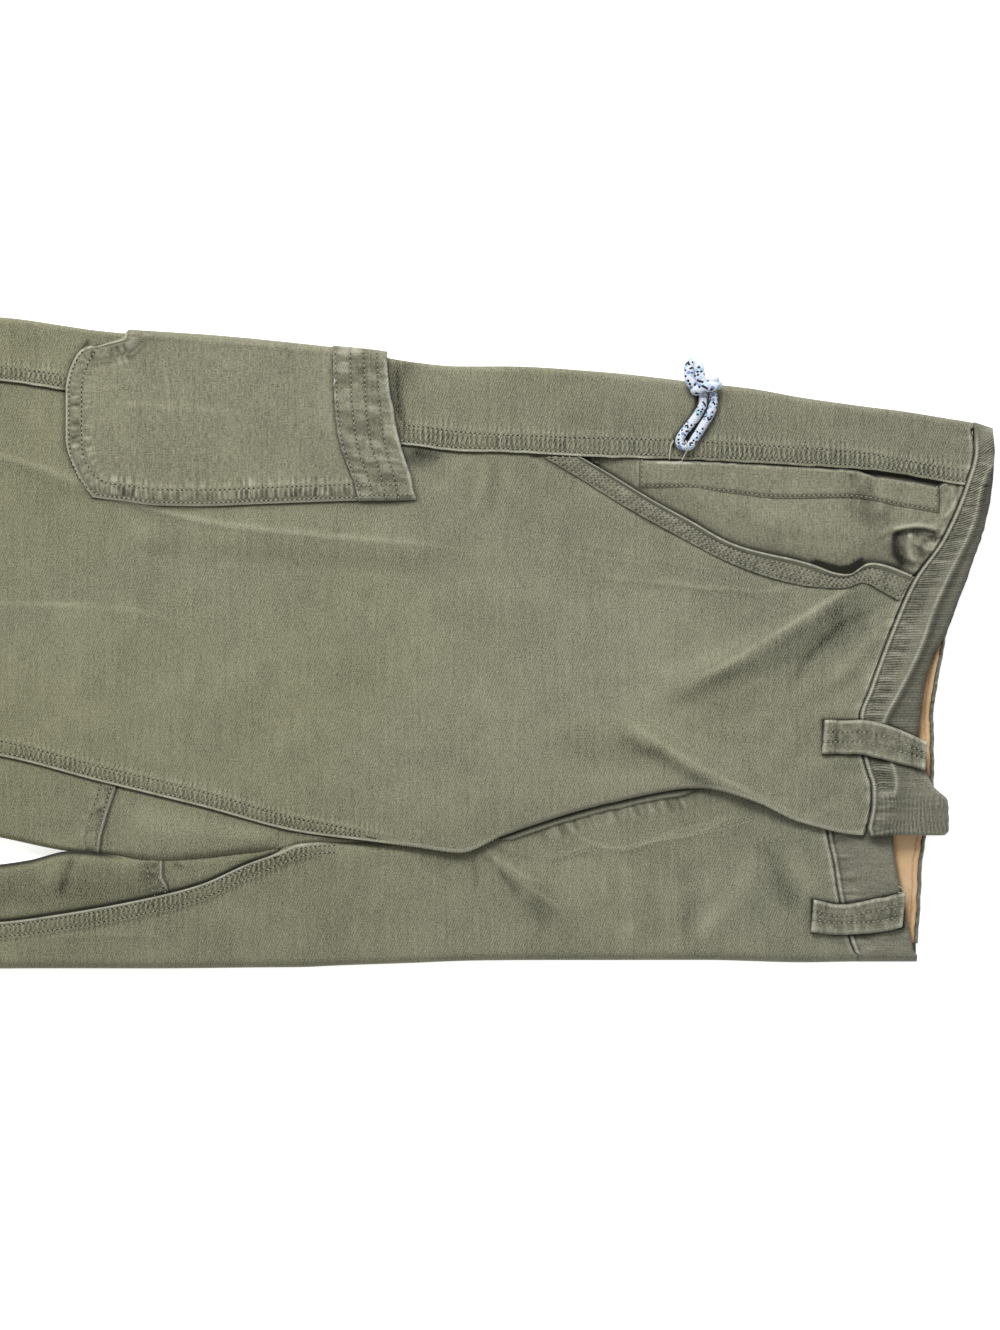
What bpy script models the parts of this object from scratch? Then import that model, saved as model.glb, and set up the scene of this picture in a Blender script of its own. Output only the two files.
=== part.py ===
"""Cargo trousers of washed canvas, laid flat on a surface with the front up and the waist towards +X.

The wearer's right side is turned up, and the left side is folded under along a straight line, so each
cross-section is a flattened tube on the right and a folded strip on the left. Lengths here are in
millimetres; thickSheet turns them into metres. X runs along the legs to the waist, Y across them
to the right outseam, and Z up from the surface. The origin is the centre of the underside.
"""

import math
from collections import namedtuple

import bmesh
import bpy
from mathutils import Vector

MM = 0.001
CLOTH = 2.0  # one layer of canvas with its seam allowance
BAND = 3.0  # the waistband is doubled
PATCH = 1.5  # pocket cloth and facings
TAPE = 1.2  # bands, welts, the lining and the zip's tape
BACK_BAND = 1.8
LOOP = 2.0
LINING_INSET = 0.8  # the lining ends this far inside the back band's edge
GAP = 0.35  # between pieces that are sewn or lie together
WAIST_GAP = 0.8  # between the trousers' slanted upper edges and the waistband
ARC = 6  # facets round a folded edge

HEM_END = -576.0
HEM_START = -550.0
LEG_STATIONS = [-550, -466, -356, -246, -136, -53, 29, 56, 66, 72, 88, 104, 122, 139, 153, 166, 178, 194]
CROTCH_STATIONS = [212, 226, 240, 256, 266, 278, 292]
WAIST_STATIONS = [0.12, 0.27, 0.42, 0.56, 0.7, 0.84, 1.0]  # shares of the way from 292 mm to the waist seam
WAIST_FROM = 292.0
STATIONS = len(LEG_STATIONS) + len(CROTCH_STATIONS) + len(WAIST_STATIONS)

# The right half: top is its folded upper edge, seam the side seam, front the inseam and from the crotch
# on the fly edge. sideHeight and frontHeight are the outside heights at the seam and at the front edge.
RightRow = namedtuple("RightRow", "x top seam front sideHeight frontHeight")
RIGHT = [
    RightRow(-576, 172.0, 142.0, -22.0, 7.0, 7.0),
    RightRow(-466, 176.0, 144.5, -26.0, 7.2, 7.2),
    RightRow(-356, 179.5, 146.5, -31.0, 7.4, 7.4),
    RightRow(-246, 181.5, 148.0, -37.0, 7.6, 7.6),
    RightRow(-136, 182.2, 148.5, -44.5, 7.6, 7.6),
    RightRow(-53, 181.0, 146.5, -53.5, 7.6, 7.6),
    RightRow(29, 176.0, 141.5, -65.0, 7.6, 7.6),
    RightRow(84, 168.0, 133.5, -79.0, 7.8, 7.7),
    RightRow(139, 164.5, 124.5, -92.5, 7.8, 7.8),
    RightRow(194, 159.5, 115.5, -106.8, 7.8, 8.6),
    RightRow(235, 155.5, 109.0, -112.0, 7.8, 10.6),
    RightRow(258, 152.0, 106.0, -115.0, 7.8, 13.2),
    RightRow(282, 150.0, 103.0, -118.0, 7.8, 14.2),
    RightRow(306, 150.0, 101.7, -108.5, 7.8, 14.4),
    RightRow(359, 147.0, 100.0, -92.0, 7.8, 14.4),
    RightRow(414, 141.0, 97.7, -82.5, 7.8, 14.4),
    RightRow(444, 137.5, 96.5, -90.0, 7.8, 14.2),
    RightRow(469, 133.0, 95.0, -101.3, 7.8, 13.8),
    RightRow(504, 128.0, 92.3, -108.3, 7.8, 13.4),
    RightRow(524, 125.5, 90.0, -108.3, 7.8, 13.4),
    RightRow(552, 120.5, 86.0, -108.3, 7.8, 13.4),
    RightRow(576, 112.0, 83.0, -108.3, 7.8, 13.4),
]

# The lower folded edge of the right leg.
LowRow = namedtuple("LowRow", "x low")
RIGHT_LOW = [
    LowRow(-576, -59.0),
    LowRow(-356, -67.0),
    LowRow(-136, -83.5),
    LowRow(-53, -95.0),
    LowRow(29, -110.0),
    LowRow(66, -116.5),
    LowRow(117, -122.5),
    LowRow(147, -121.0),
    LowRow(194, -113.5),
]

# The left half: inner is the upper edge of the folded leg, seam its inseam, and from the crotch on both are
# where the left front ends under the right one. fold is the straight lower edge.
LeftRow = namedtuple("LeftRow", "x inner seam fold height")
LEFT = [
    LeftRow(-576, -117.0, -150.0, -178.0, 10.0),
    LeftRow(-411, -123.0, -154.0, -180.0, 10.2),
    LeftRow(-191, -132.0, -160.0, -181.5, 10.4),
    LeftRow(-53, -132.0, -163.0, -182.0, 10.5),
    LeftRow(29, -124.5, -160.0, -182.0, 10.5),
    LeftRow(66, -120.0, -155.5, -182.0, 10.5),
    LeftRow(112, -123.6, -148.0, -182.0, 10.4),
    LeftRow(139, -122.8, -141.0, -181.8, 10.2),
    LeftRow(166, -119.6, -129.5, -181.5, 10.0),
    LeftRow(184, -117.0, -121.0, -181.3, 9.8),
    LeftRow(214, -115.0, -115.0, -180.5, 9.6),
    LeftRow(260, -117.5, -117.5, -179.0, 9.7),
    LeftRow(272, -113.0, -113.0, -178.5, 9.8),
    LeftRow(290, -104.0, -104.0, -178.0, 10.0),
    LeftRow(359, -78.0, -78.0, -177.5, 10.2),
    LeftRow(414, -69.0, -69.0, -177.5, 10.4),
    LeftRow(469, -87.0, -87.0, -178.5, 10.4),
    LeftRow(504, -95.0, -95.0, -178.0, 10.3),
    LeftRow(540, -96.0, -96.0, -178.0, 10.2),
]

# Where the cloth under the seat changes from the left front to the right back.
UnderRow = namedtuple("UnderRow", "x seam")
UNDER = [
    UnderRow(190, -118.0),
    UnderRow(235, -114.0),
    UnderRow(272, -78.0),
    UnderRow(306, -62.0),
    UnderRow(504, -60.0),
]

# The waist from the fly (low y) to the upper fold: seam joins the trousers, edge is the top of the front
# band, back the top of the back band under it and backSeam where that band joins the seat.
WaistRow = namedtuple("WaistRow", "y seam edge back backSeam")
WAIST = [
    WaistRow(-178, 501.0, 533.5, 534.0, 499.0),
    WaistRow(-163, 495.5, 529.5, 534.5, 499.0),
    WaistRow(-143, 490.5, 525.5, 536.0, 500.0),
    WaistRow(-122, 487.0, 521.5, 537.0, 501.0),
    WaistRow(-108, 484.0, 520.0, 539.0, 502.0),
    WaistRow(-82, 482.0, 518.0, 543.0, 506.0),
    WaistRow(-44, 482.0, 518.0, 543.5, 507.0),
    WaistRow(-9, 482.0, 518.0, 548.5, 512.0),
    WaistRow(31, 482.0, 518.0, 556.0, 522.0),
    WaistRow(70, 482.0, 518.0, 568.0, 541.0),
    WaistRow(108, 482.0, 518.0, 573.0, 561.0),
]
FrontWaistRow = namedtuple("FrontWaistRow", "y seam edge")
RIGHT_WAIST = [
    FrontWaistRow(-108, 504.0, 545.0),
    FrontWaistRow(-100, 506.5, 549.5),
    FrontWaistRow(-91, 508.0, 549.5),
    FrontWaistRow(-82, 508.0, 542.5),
    FrontWaistRow(-73, 505.5, 540.5),
    FrontWaistRow(-44, 501.5, 535.0),
    FrontWaistRow(-28, 507.0, 537.0),
    FrontWaistRow(-9, 514.0, 543.0),
    FrontWaistRow(5, 519.5, 551.0),
    FrontWaistRow(31, 531.0, 560.0),
    FrontWaistRow(55, 547.5, 568.0),
    FrontWaistRow(84, 560.0, 575.0),
    FrontWaistRow(104, 565.0, 576.0),
    FrontWaistRow(118, 563.0, 573.0),
]
FRONT_SLOPE = 0.75  # the front comes down to the side's height over this share of its width
BACK_LINES = [100.0, 79.0, 66.0, 30.0]  # rows of points along the underside
BACK_END = -60.0
BAND_RISE = 1.0  # the doubled band stands this much above the cloth below it
TIP_RISE = 1.8  # and its end over the hidden button this much more
TIP_FROM = -66.0
TIP_FULL = -90.0
LEFT_BAND_UNDER = 3.4  # the back band is lifted this much over the left band's folded end
LEFT_BAND_RISE = 0.5

# Y lines of points along the three parts of the waistband, and X of its ends at the folds.
RIGHT_BAND_LINES = [104, 92, 83, 66, 48, 34.2, 22.8, 2.9, -20, -42.8, -55, -65.6, -73, -85.5, -99.8, -108.3]
LEFT_BAND_LINES = [-94, -108, -122, -136, -150, -162, -170]
LEFT_BAND_BELOW = [-172, -140, -100, -67]
BACK_BAND_LINES = [98, 88, 79, 66, 48, 30, 7, -15, -38, -42, -49, -57, -64, -90, -115, -140, -168]
RIGHT_FOLD_SEAM = 565.0
RIGHT_FOLD_EDGE = 575.5
LEFT_FOLD_SEAM = 501.0
LEFT_FOLD_EDGE = 533.5
LEFT_FOLD_Y = -178.2
TUCK = 10.0  # the right band's turn under the upper fold

# Where the fronts and the back meet the waist seam.
FRONT_AT_SCOOP = 34.5
FRONT_AT_FLY = -108.3
BACK_AT_SIDE = 561.0
BACK_AT_FOLD = 563.0
LEFT_AT_FLY = -95.0
LEFT_AT_FOLD = -173.0

# The edge of the scoop pocket, from the side seam to the waist.
ScoopRow = namedtuple("ScoopRow", "x edge")
SCOOP = [
    ScoopRow(348, 100.0),
    ScoopRow(368, 88.5),
    ScoopRow(388, 76.0),
    ScoopRow(411, 64.0),
    ScoopRow(435, 51.0),
    ScoopRow(467, 43.5),
    ScoopRow(496, 35.0),
    ScoopRow(507, 41.0),
    ScoopRow(531, 34.5),
]
SCOOP_BAND = 14.0
FOLDED_STATIONS = [-548, -466, -356, -246, -136, -53, 29, 88, 139, 178, 212, 240, 266, 290, 340, 400, 440, 478]
FOLDED_HIGH = 22.0  # how far up under the seat the folded layers reach
FOLDED_GAP = 0.45  # round the folded layers, above and below
FOLDED_SIDE_GAP = 2.9  # and at the folds, whose insides are round
UNDER_FRONT_GAP = 1.4
WRAP_UNDER = 12.0  # how far the cloth of an inner leg reaches under its folded edge
FACING_DROP = 2.6  # how far the facing lies below the front at the pocket's edge
FACING_TUCK = 9.0
WELT_RISE = 0.3
WELT_DEPTH = 15.0
WELT_SHARE = 0.75  # at most this share of the facing's width where that is narrow

SHIELD_IN = 3.0  # the fly shield's edges, from the fly's edge
SHIELD_OUT = 4.5
ZIP_WIDTH = 8.65
BUTTON_RADIUS = 6.0
BUTTON_CENTRE = (514.5, -101.0)

# The belt loops' edges.
LoopRow = namedtuple("LoopRow", "x high low")
LOOP_RIGHT = [
    LoopRow(482, -45.0, -63.0),
    LoopRow(492, -45.0, -63.5),
    LoopRow(502, -45.0, -64.0),
    LoopRow(519, -48.5, -67.0),
    LoopRow(541, -55.0, -73.0),
]
LOOP_LEFT = [
    LoopRow(476, -143.5, -161.0),
    LoopRow(490, -146.0, -163.0),
    LoopRow(508, -143.5, -162.5),
    LoopRow(525, -140.0, -159.0),
]

# The cargo pocket's lower sewn edge on the thigh.
PocketRow = namedtuple("PocketRow", "x low")
CARGO = [
    PocketRow(66, 100.0),
    PocketRow(72, 84.0),
    PocketRow(88, 76.0),
    PocketRow(104, 73.0),
    PocketRow(139, 72.5),
    PocketRow(212, 75.0),
    PocketRow(256, 76.0),
]
CARGO_RISE = 2.3  # its folded edge stands this far beyond the leg's
CARGO_WALL = 1.8
CARGO_UNDER = 84.0  # how far down the pocket reaches on the hidden side
CARGO_LIFT = 2.2  # the back is lifted this much over it
HEM_BAND_FROM = 212.0

# The largest soft folds in the top cloth, each along a straight line: rise is its height, or its depth
# below zero, and width how far it spreads to each side.
FoldRow = namedtuple("FoldRow", "x0 y0 x1 y1 width rise")
FOLDS = [
    FoldRow(478, 4, 404, -26, 14, 2.6),
    FoldRow(466, -26, 430, -46, 12, -0.7),
    FoldRow(392, -58, 346, -52, 18, 1.6),
    FoldRow(110, 56, 255, 45, 12, 1.2),
    FoldRow(-70, 40, -180, -20, 24, 1.6),
    FoldRow(-250, 110, -340, 20, 26, 1.4),
    FoldRow(-430, 60, -380, -20, 22, 1.2),
]

CANVAS = (0.245, 0.24, 0.165, 1.0)
CANVAS_LIGHT = (0.27, 0.26, 0.18, 1.0)
LINING = (0.56, 0.37, 0.19, 1.0)
DARK = (0.05, 0.05, 0.04, 1.0)
BRASS = (0.45, 0.33, 0.16, 1.0)
CORD_WHITE = (0.75, 0.8, 0.86, 1.0)


def value(rows, column, at):
    """A table's column, read as a smooth curve along its first column."""
    keys = [row[0] for row in rows]
    values = [getattr(row, column) for row in rows]
    at = min(max(at, keys[0]), keys[-1])
    i = 0
    while i < len(keys) - 2 and at > keys[i + 1]:
        i += 1
    step = keys[i + 1] - keys[i]
    slope = (values[i + 1] - values[i]) / step
    before = (values[i] - values[i - 1]) / (keys[i] - keys[i - 1]) if i > 0 else slope
    after = (values[i + 2] - values[i + 1]) / (keys[i + 2] - keys[i + 1]) if i + 2 < len(keys) else slope
    start = gentle(before, slope) * step
    end = gentle(slope, after) * step
    t = (at - keys[i]) / step
    return (
        values[i] * (1 + 2 * t) * (1 - t) ** 2
        + values[i + 1] * t * t * (3 - 2 * t)
        + start * t * (1 - t) ** 2
        - end * t * t * (1 - t)
    )


def gentle(before, after):
    """A slope between two others that doesn't overshoot."""
    return 0.0 if before * after <= 0 else 2 * before * after / (before + after)


def smooth(low, high, at):
    """0 below low, 1 above high, and a soft ramp between."""
    t = min(max((at - low) / (high - low), 0.0), 1.0)
    return t * t * (3 - 2 * t)


def mix(a, b, share):
    return a + (b - a) * share


def right(column, x):
    return value(RIGHT, column, x)


def left(column, x):
    return value(LEFT, column, x)


def rightHeight(x, y):
    """The outside of the right half, from the side seam's height to the front edge's."""
    front = right("front", x)
    share = smooth(front, mix(front, right("seam", x), FRONT_SLOPE), y)
    return mix(right("frontHeight", x), right("sideHeight", x), share)


def foldRise(x, y):
    """How far the soft folds lift the top cloth."""
    total = 0.0
    for fold in FOLDS:
        along = Vector((fold.x1 - fold.x0, fold.y1 - fold.y0))
        away = Vector((x - fold.x0, y - fold.y0))
        share = away.dot(along) / along.length_squared
        nearest = Vector((fold.x0, fold.y0)) + along * min(max(share, 0.0), 1.0)
        distance = (Vector((x, y)) - nearest).length
        total += fold.rise * (1 - smooth(0, fold.width, distance))
    return total


def rightBandHeight(x, y):
    return rightHeight(x, y) + BAND_RISE + TIP_RISE * smooth(TIP_FROM, TIP_FULL, y)


def backLift(x, y):
    """How far the back is lifted where the cargo pocket's hidden half lies under it."""
    along = smooth(56, 63, x) * (1 - smooth(259, 266, x))
    return CARGO_LIFT * along * smooth(66, 78, y)


def bandLift(y):
    """How far the back band is lifted over the left band's folded end."""
    return LEFT_BAND_UNDER * (1 - smooth(-64, -42, y))


def foldArc(x, edge, low, high, side):
    """Points round a folded edge, top to underside: side is 1 for the upper edge and -1 for the lower."""
    radius = (high - low) / 2
    points = []
    for k in range(1, ARC):
        angle = math.pi * (0.5 - k / ARC)
        y = edge - side * radius + side * radius * math.cos(angle)
        points.append((x, y, low + radius + radius * math.sin(angle)))
    return points


def material(name, color, roughness, metallic=0.0):
    found = bpy.data.materials.get(name)
    if found:
        return found
    made = bpy.data.materials.new(name)
    made.use_nodes = True
    shader = made.node_tree.nodes["Principled BSDF"]
    shader.inputs["Base Color"].default_value = color
    shader.inputs["Roughness"].default_value = roughness
    shader.inputs["Metallic"].default_value = metallic
    made.diffuse_color = color
    return made


def place(name, mesh, finish):
    """Puts a finished bmesh into the scene as one named object."""
    bmesh.ops.recalc_face_normals(mesh, faces=mesh.faces)
    data = bpy.data.meshes.new(name)
    mesh.to_mesh(data)
    mesh.free()
    data.materials.append(finish)
    thing = bpy.data.objects.new(name, data)
    bpy.context.collection.objects.link(thing)
    return thing


def gridNormal(grid, i, j, closed):
    """The outward normal at one point of a grid of rows."""
    rows = len(grid)
    columns = len(grid[0])
    a = grid[max(i - 1, 0)][j]
    b = grid[min(i + 1, rows - 1)][j]
    if closed:
        c = grid[i][(j - 1) % columns]
        d = grid[i][(j + 1) % columns]
    else:
        c = grid[i][max(j - 1, 0)]
        d = grid[i][min(j + 1, columns - 1)]
    return (b - a).cross(d - c).normalized()


def thickSheet(name, rows, wall, finish, closed=False):
    """A cloth wall whose outside runs through rows of points in millimetres, and whose inside lies wall within.

    Each row runs across the cloth and the rows follow each other along +X, from the upper edge down, so that
    the outside faces up on top. With closed, each row is a ring.
    """
    outer = [[Vector(point) for point in row] for row in rows]
    inner = []
    for i, row in enumerate(outer):
        inner.append([point + gridNormal(outer, i, j, closed) * wall for j, point in enumerate(row)])
    mesh = bmesh.new()
    layers = []
    for grid in (outer, inner):
        layers.append([[mesh.verts.new(point * MM) for point in row] for row in grid])
    columns = len(outer[0])
    steps = columns if closed else columns - 1
    for i in range(len(outer) - 1):
        for j in range(steps):
            k = (j + 1) % columns
            for layer in layers:
                mesh.faces.new((layer[i][j], layer[i][k], layer[i + 1][k], layer[i + 1][j]))
    for i in (0, len(outer) - 1):
        for j in range(steps):
            k = (j + 1) % columns
            mesh.faces.new((layers[0][i][j], layers[0][i][k], layers[1][i][k], layers[1][i][j]))
    if not closed:
        for j in (0, columns - 1):
            for i in range(len(outer) - 1):
                mesh.faces.new((layers[0][i][j], layers[0][i + 1][j], layers[1][i + 1][j], layers[1][i][j]))
    return place(name, mesh, finish)


def spread(low, high, count):
    return [mix(low, high, k / (count - 1)) for k in range(count)]


def toWaist(waistX):
    """X stations from the leg hem to a waist seam at waistX."""
    straight = [float(x) for x in LEG_STATIONS + CROTCH_STATIONS]
    return straight + [mix(WAIST_FROM, waistX, share) for share in WAIST_STATIONS]


def makeRightFront(finish):
    shares = [0.0, 0.08, 0.18, 0.28, 0.36, 0.44, 0.52, 0.6, 0.68, 0.76, 0.86, 0.94, 1.0]
    rows = []
    ends = [waistAt(mix(FRONT_AT_SCOOP, FRONT_AT_FLY, share)) - WAIST_GAP for share in shares]
    for i in range(STATIONS):
        row = []
        for share, end in zip(shares, ends, strict=True):
            x = toWaist(end)[i]
            start = min(right("seam", x), value(SCOOP, "edge", x)) if x > SCOOP[0].x else right("seam", x)
            y = mix(start - GAP, right("front", x), share)
            row.append((x, y, rightHeight(x, y) + foldRise(x, y)))
        rows.append(row)
    return thickSheet("right_front", rows, CLOTH, finish)


def waistAt(y):
    return value(RIGHT_WAIST, "seam", y)


def makeRightBack(finish):
    """The back from the side seam round the upper fold and along the underside."""
    rows = []
    for i in range(STATIONS):
        row = []
        for share in (0.0, 0.5, 1.0):
            x = toWaist(mix(BACK_AT_SIDE, BACK_AT_FOLD, share) - WAIST_GAP)[i]
            y = mix(right("seam", x), right("top", x) - right("sideHeight", x) / 2, share)
            row.append((x, y, right("sideHeight", x)))
        x = toWaist(BACK_AT_FOLD - WAIST_GAP)[i]
        lift = backLift(x, 150)
        row += foldArc(x, right("top", x), lift, right("sideHeight", x), 1)
        row.append((x, right("top", x) - (right("sideHeight", x) - lift) / 2, lift))
        for line in BACK_LINES:
            x = toWaist(value(WAIST, "backSeam", line) - WAIST_GAP)[i]
            row.append((x, line, backLift(x, line)))
        for share in (0.5, 1.0):
            x = toWaist(value(WAIST, "backSeam", mix(BACK_LINES[-1], BACK_END, share)) - WAIST_GAP)[i]
            row.append((x, mix(BACK_LINES[-1], underEnd(x), share), 0.0))
        rows.append(row[::-1])
    return thickSheet("right_back", rows, CLOTH, finish)


def underEnd(x):
    """Where the right back ends on the underside."""
    leg = value(RIGHT_LOW, "low", min(x, 178)) + WRAP_UNDER
    return mix(leg, value(UNDER, "seam", x) + GAP, smooth(178, 212, x))


def legWrap(stations, inseam, edge, height, side, reach):
    """Rows of cloth from an inseam over a leg's folded edge to the underside."""
    rows = []
    for x in stations:
        radius = height(x) / 2
        seam = inseam(x) + side * GAP
        row = [(x, mix(seam, edge(x) - side * radius, share), height(x)) for share in (0.0, 0.5, 1.0)]
        row += foldArc(x, edge(x), 0.0, height(x), side)
        row += [(x, mix(edge(x) - side * radius, edge(x) - side * reach, share), 0.0) for share in (0.0, 1.0)]
        rows.append(row[::-1] if side > 0 else row)
    return rows


def makeInnerLegs(finish, light):
    def rightEdge(x):
        return value(RIGHT_LOW, "low", x)

    def rightSeam(x):
        return right("front", x)

    def rightTop(x):
        return rightHeight(x, right("front", x))

    def leftEdge(x):
        return left("inner", x)

    def leftSeam(x):
        return left("seam", x)

    def leftHeight(x):
        return left("height", x)

    back = [x for x in LEG_STATIONS if x < 88] + [88 - GAP]
    gusset = [x for x in LEG_STATIONS if 88 <= x <= 178]
    for name, stations, cloth in (("right_back_inner", back, finish), ("gusset_right", gusset, light)):
        rows = legWrap(stations, rightSeam, rightEdge, rightTop, -1, WRAP_UNDER - GAP)
        thickSheet(name, rows, CLOTH, cloth)
    back = [x for x in LEG_STATIONS if x < 122] + [122 - GAP]
    gusset = [x for x in LEG_STATIONS if 122 <= x <= 178]
    for name, stations, cloth in (("left_back_inner", back, finish), ("gusset_left", gusset, light)):
        rows = legWrap(stations, leftSeam, leftEdge, leftHeight, 1, WRAP_UNDER - GAP)
        thickSheet(name, rows, CLOTH, cloth)


def makeLeftFront(finish):
    """The left front from the inseam or fly over the straight fold, and under to its side seam."""
    rows = []
    for i in range(STATIONS):
        row = []
        for share in (0.0, 0.2, 0.5, 0.8, 1.0):
            end = value(WAIST, "seam", mix(LEFT_AT_FLY, LEFT_AT_FOLD, share)) - WAIST_GAP
            x = toWaist(end)[i]
            radius = left("height", x) / 2
            y = mix(left("seam", x), left("fold", x) + radius, share)
            row.append((x, y, left("height", x)))
        x = toWaist(LEFT_FOLD_SEAM - WAIST_GAP)[i]
        row += foldArc(x, left("fold", x), 0.0, left("height", x), -1)
        for share in (0.0, 0.5, 1.0):
            y = mix(left("fold", x) + radius, leftUnderEnd(x), share)
            row.append((x, y, 0.0))
        rows.append(row)
    return thickSheet("left_front", rows, CLOTH, finish)


def leftUnderEnd(x):
    """Where the left front ends on the underside."""
    leg = left("inner", min(x, 178)) - WRAP_UNDER
    return mix(leg, value(UNDER, "seam", x) - GAP, smooth(178, 226, x))


def makeFoldedLayers(finish):
    """The left back and the rest of the left half, folded under: one rounded solid with layered sides."""
    rows = []
    for x in FOLDED_STATIONS:
        low = left("fold", x) + CLOTH + FOLDED_SIDE_GAP
        legHigh = left("inner", min(x, 178)) - CLOTH - FOLDED_SIDE_GAP
        high = mix(legHigh, FOLDED_HIGH, smooth(226, 330, x))
        bottom = CLOTH + FOLDED_GAP
        top = left("height", x) - CLOTH - FOLDED_GAP
        upper = []
        lower = []
        for share in (1.0, 0.96, 0.75, 0.5, 0.25, 0.04, 0.0):
            y = mix(low, high, share)
            ceiling = min(top, rightHeight(x, y) - CLOTH - UNDER_FRONT_GAP) if y > left("seam", x) else top
            middle = (ceiling + bottom) / 2
            half = (ceiling - bottom) / 2 * (0.5 if share in (0.0, 1.0) else 1.0)
            upper.append((x, y, middle + half))
            lower.append((x, y, middle - half))
        rows.append(upper + lower[::-1])
    return solidLoft("left_back_folded", rows, finish)


def solidLoft(name, rings, finish):
    """A solid through rings of points in millimetres."""
    mesh = bmesh.new()
    loops = [[mesh.verts.new(Vector(point) * MM) for point in ring] for ring in rings]
    count = len(loops[0])
    for a, b in zip(loops, loops[1:], strict=False):
        for j in range(count):
            k = (j + 1) % count
            mesh.faces.new((a[j], a[k], b[k], b[j]))
    half = count // 2
    for loop in (loops[0], loops[-1]):
        for j in range(half - 1):
            mesh.faces.new((loop[j], loop[j + 1], loop[count - 2 - j], loop[count - 1 - j]))
    return place(name, mesh, finish)


def makeHems(finish):
    """The turned hems at the ends of the legs, as closed bands."""
    rows = []
    for x in (HEM_END, HEM_START - GAP):
        height = right("sideHeight", x)
        low = value(RIGHT_LOW, "low", x)
        high = right("top", x)
        lines = spread(high - height / 2, low + height / 2, 6)
        row = [(x, y, height) for y in lines]
        row += foldArc(x, low, 0.0, height, -1)
        row += [(x, y, 0.0) for y in lines[::-1]]
        row += foldArc(x, high, 0.0, height, 1)[::-1]
        rows.append(row)
    thickSheet("right_hem", rows, CLOTH + 0.5, finish, closed=True)
    rows = []
    for x in (HEM_END, HEM_START - GAP):
        height = left("height", x)
        lines = spread(left("inner", x) - height / 2, left("fold", x) + height / 2, 4)
        row = [(x, y, height) for y in lines]
        row += foldArc(x, left("fold", x), 0.0, height, -1)
        row += [(x, y, 0.0) for y in lines[::-1]]
        row += foldArc(x, left("inner", x), 0.0, height, 1)[::-1]
        rows.append(row)
    thickSheet("left_hem", rows, CLOTH + 0.5, finish, closed=True)


def makeRightWaistband(finish):
    """The front band from its end over the fly to the upper fold and round it."""
    shares = (0.0, 0.35, 0.7, 1.0)
    columns = []
    under = []
    for share in shares:
        x = mix(RIGHT_FOLD_SEAM, RIGHT_FOLD_EDGE, share)
        height = right("sideHeight", x) + BAND_RISE
        top = right("top", x) + BAND_RISE / 2
        arc = foldArc(x, top, 0.0, height, 1)[::-1]
        under.append([(x, top - height / 2 - TUCK, 0.0), (x, top - height / 2, 0.0), *arc])
    for j in range(len(under[0])):
        columns.append([under[k][j] for k in range(len(shares))])
    for y in RIGHT_BAND_LINES:
        row = []
        for share in shares:
            x = mix(waistAt(y), value(RIGHT_WAIST, "edge", y), share)
            limited = min(y, right("top", x) - right("sideHeight", x) / 2)
            row.append((x, limited, rightBandHeight(x, limited)))
        columns.append(row)
    return thickSheet("waistband_right", columns, -BAND, finish)


def leftBandHeight():
    return left("height", LEFT_FOLD_SEAM) + LEFT_BAND_RISE


def makeLeftWaistband(finish):
    """The left front band from under the right one to the lower fold, and under it."""
    shares = (0.0, 0.35, 0.7, 1.0)
    height = leftBandHeight()
    columns = []
    for y in LEFT_BAND_LINES:
        row = []
        for share in shares:
            x = mix(value(WAIST, "seam", y), value(WAIST, "edge", y), share)
            row.append((x, y, height))
        columns.append(row)
    ends = [mix(LEFT_FOLD_SEAM, LEFT_FOLD_EDGE, share) for share in shares]
    arcs = [foldArc(x, LEFT_FOLD_Y, 0.0, height, -1) for x in ends]
    for j in range(ARC - 1):
        columns.append([arc[j] for arc in arcs])
    for y in LEFT_BAND_BELOW:
        columns.append([(x, y, 0.0) for x in ends])
    return thickSheet("waistband_left", columns, -BAND, finish)


def makeBackWaistband(finish, lining):
    """The back band with its lining up, under the front bands."""
    for name, height, wall, cloth, inset in (
        ("waistband_back", BACK_BAND, BACK_BAND, finish, 0.0),
        ("waistband_lining", BACK_BAND + GAP + TAPE, TAPE, lining, LINING_INSET),
    ):
        columns = []
        for y in BACK_BAND_LINES:
            start = value(WAIST, "backSeam", y) + WAIST_GAP
            end = value(WAIST, "back", y) - inset
            row = [(mix(start, end, share), y, bandLift(y) + height) for share in (0.0, 0.33, 0.67, 1.0)]
            columns.append(row)
        thickSheet(name, columns, -wall, cloth)


def overlay(name, columns, wall, height, finish):
    """A flat piece on top of another: columns of (x, y), at height(x, y) plus a gap and its own wall."""
    rows = []
    for line in columns:
        rows.append([(x, y, height(x, y) + GAP + wall) for x, y in line])
    return thickSheet(name, rows, wall, finish)


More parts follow.
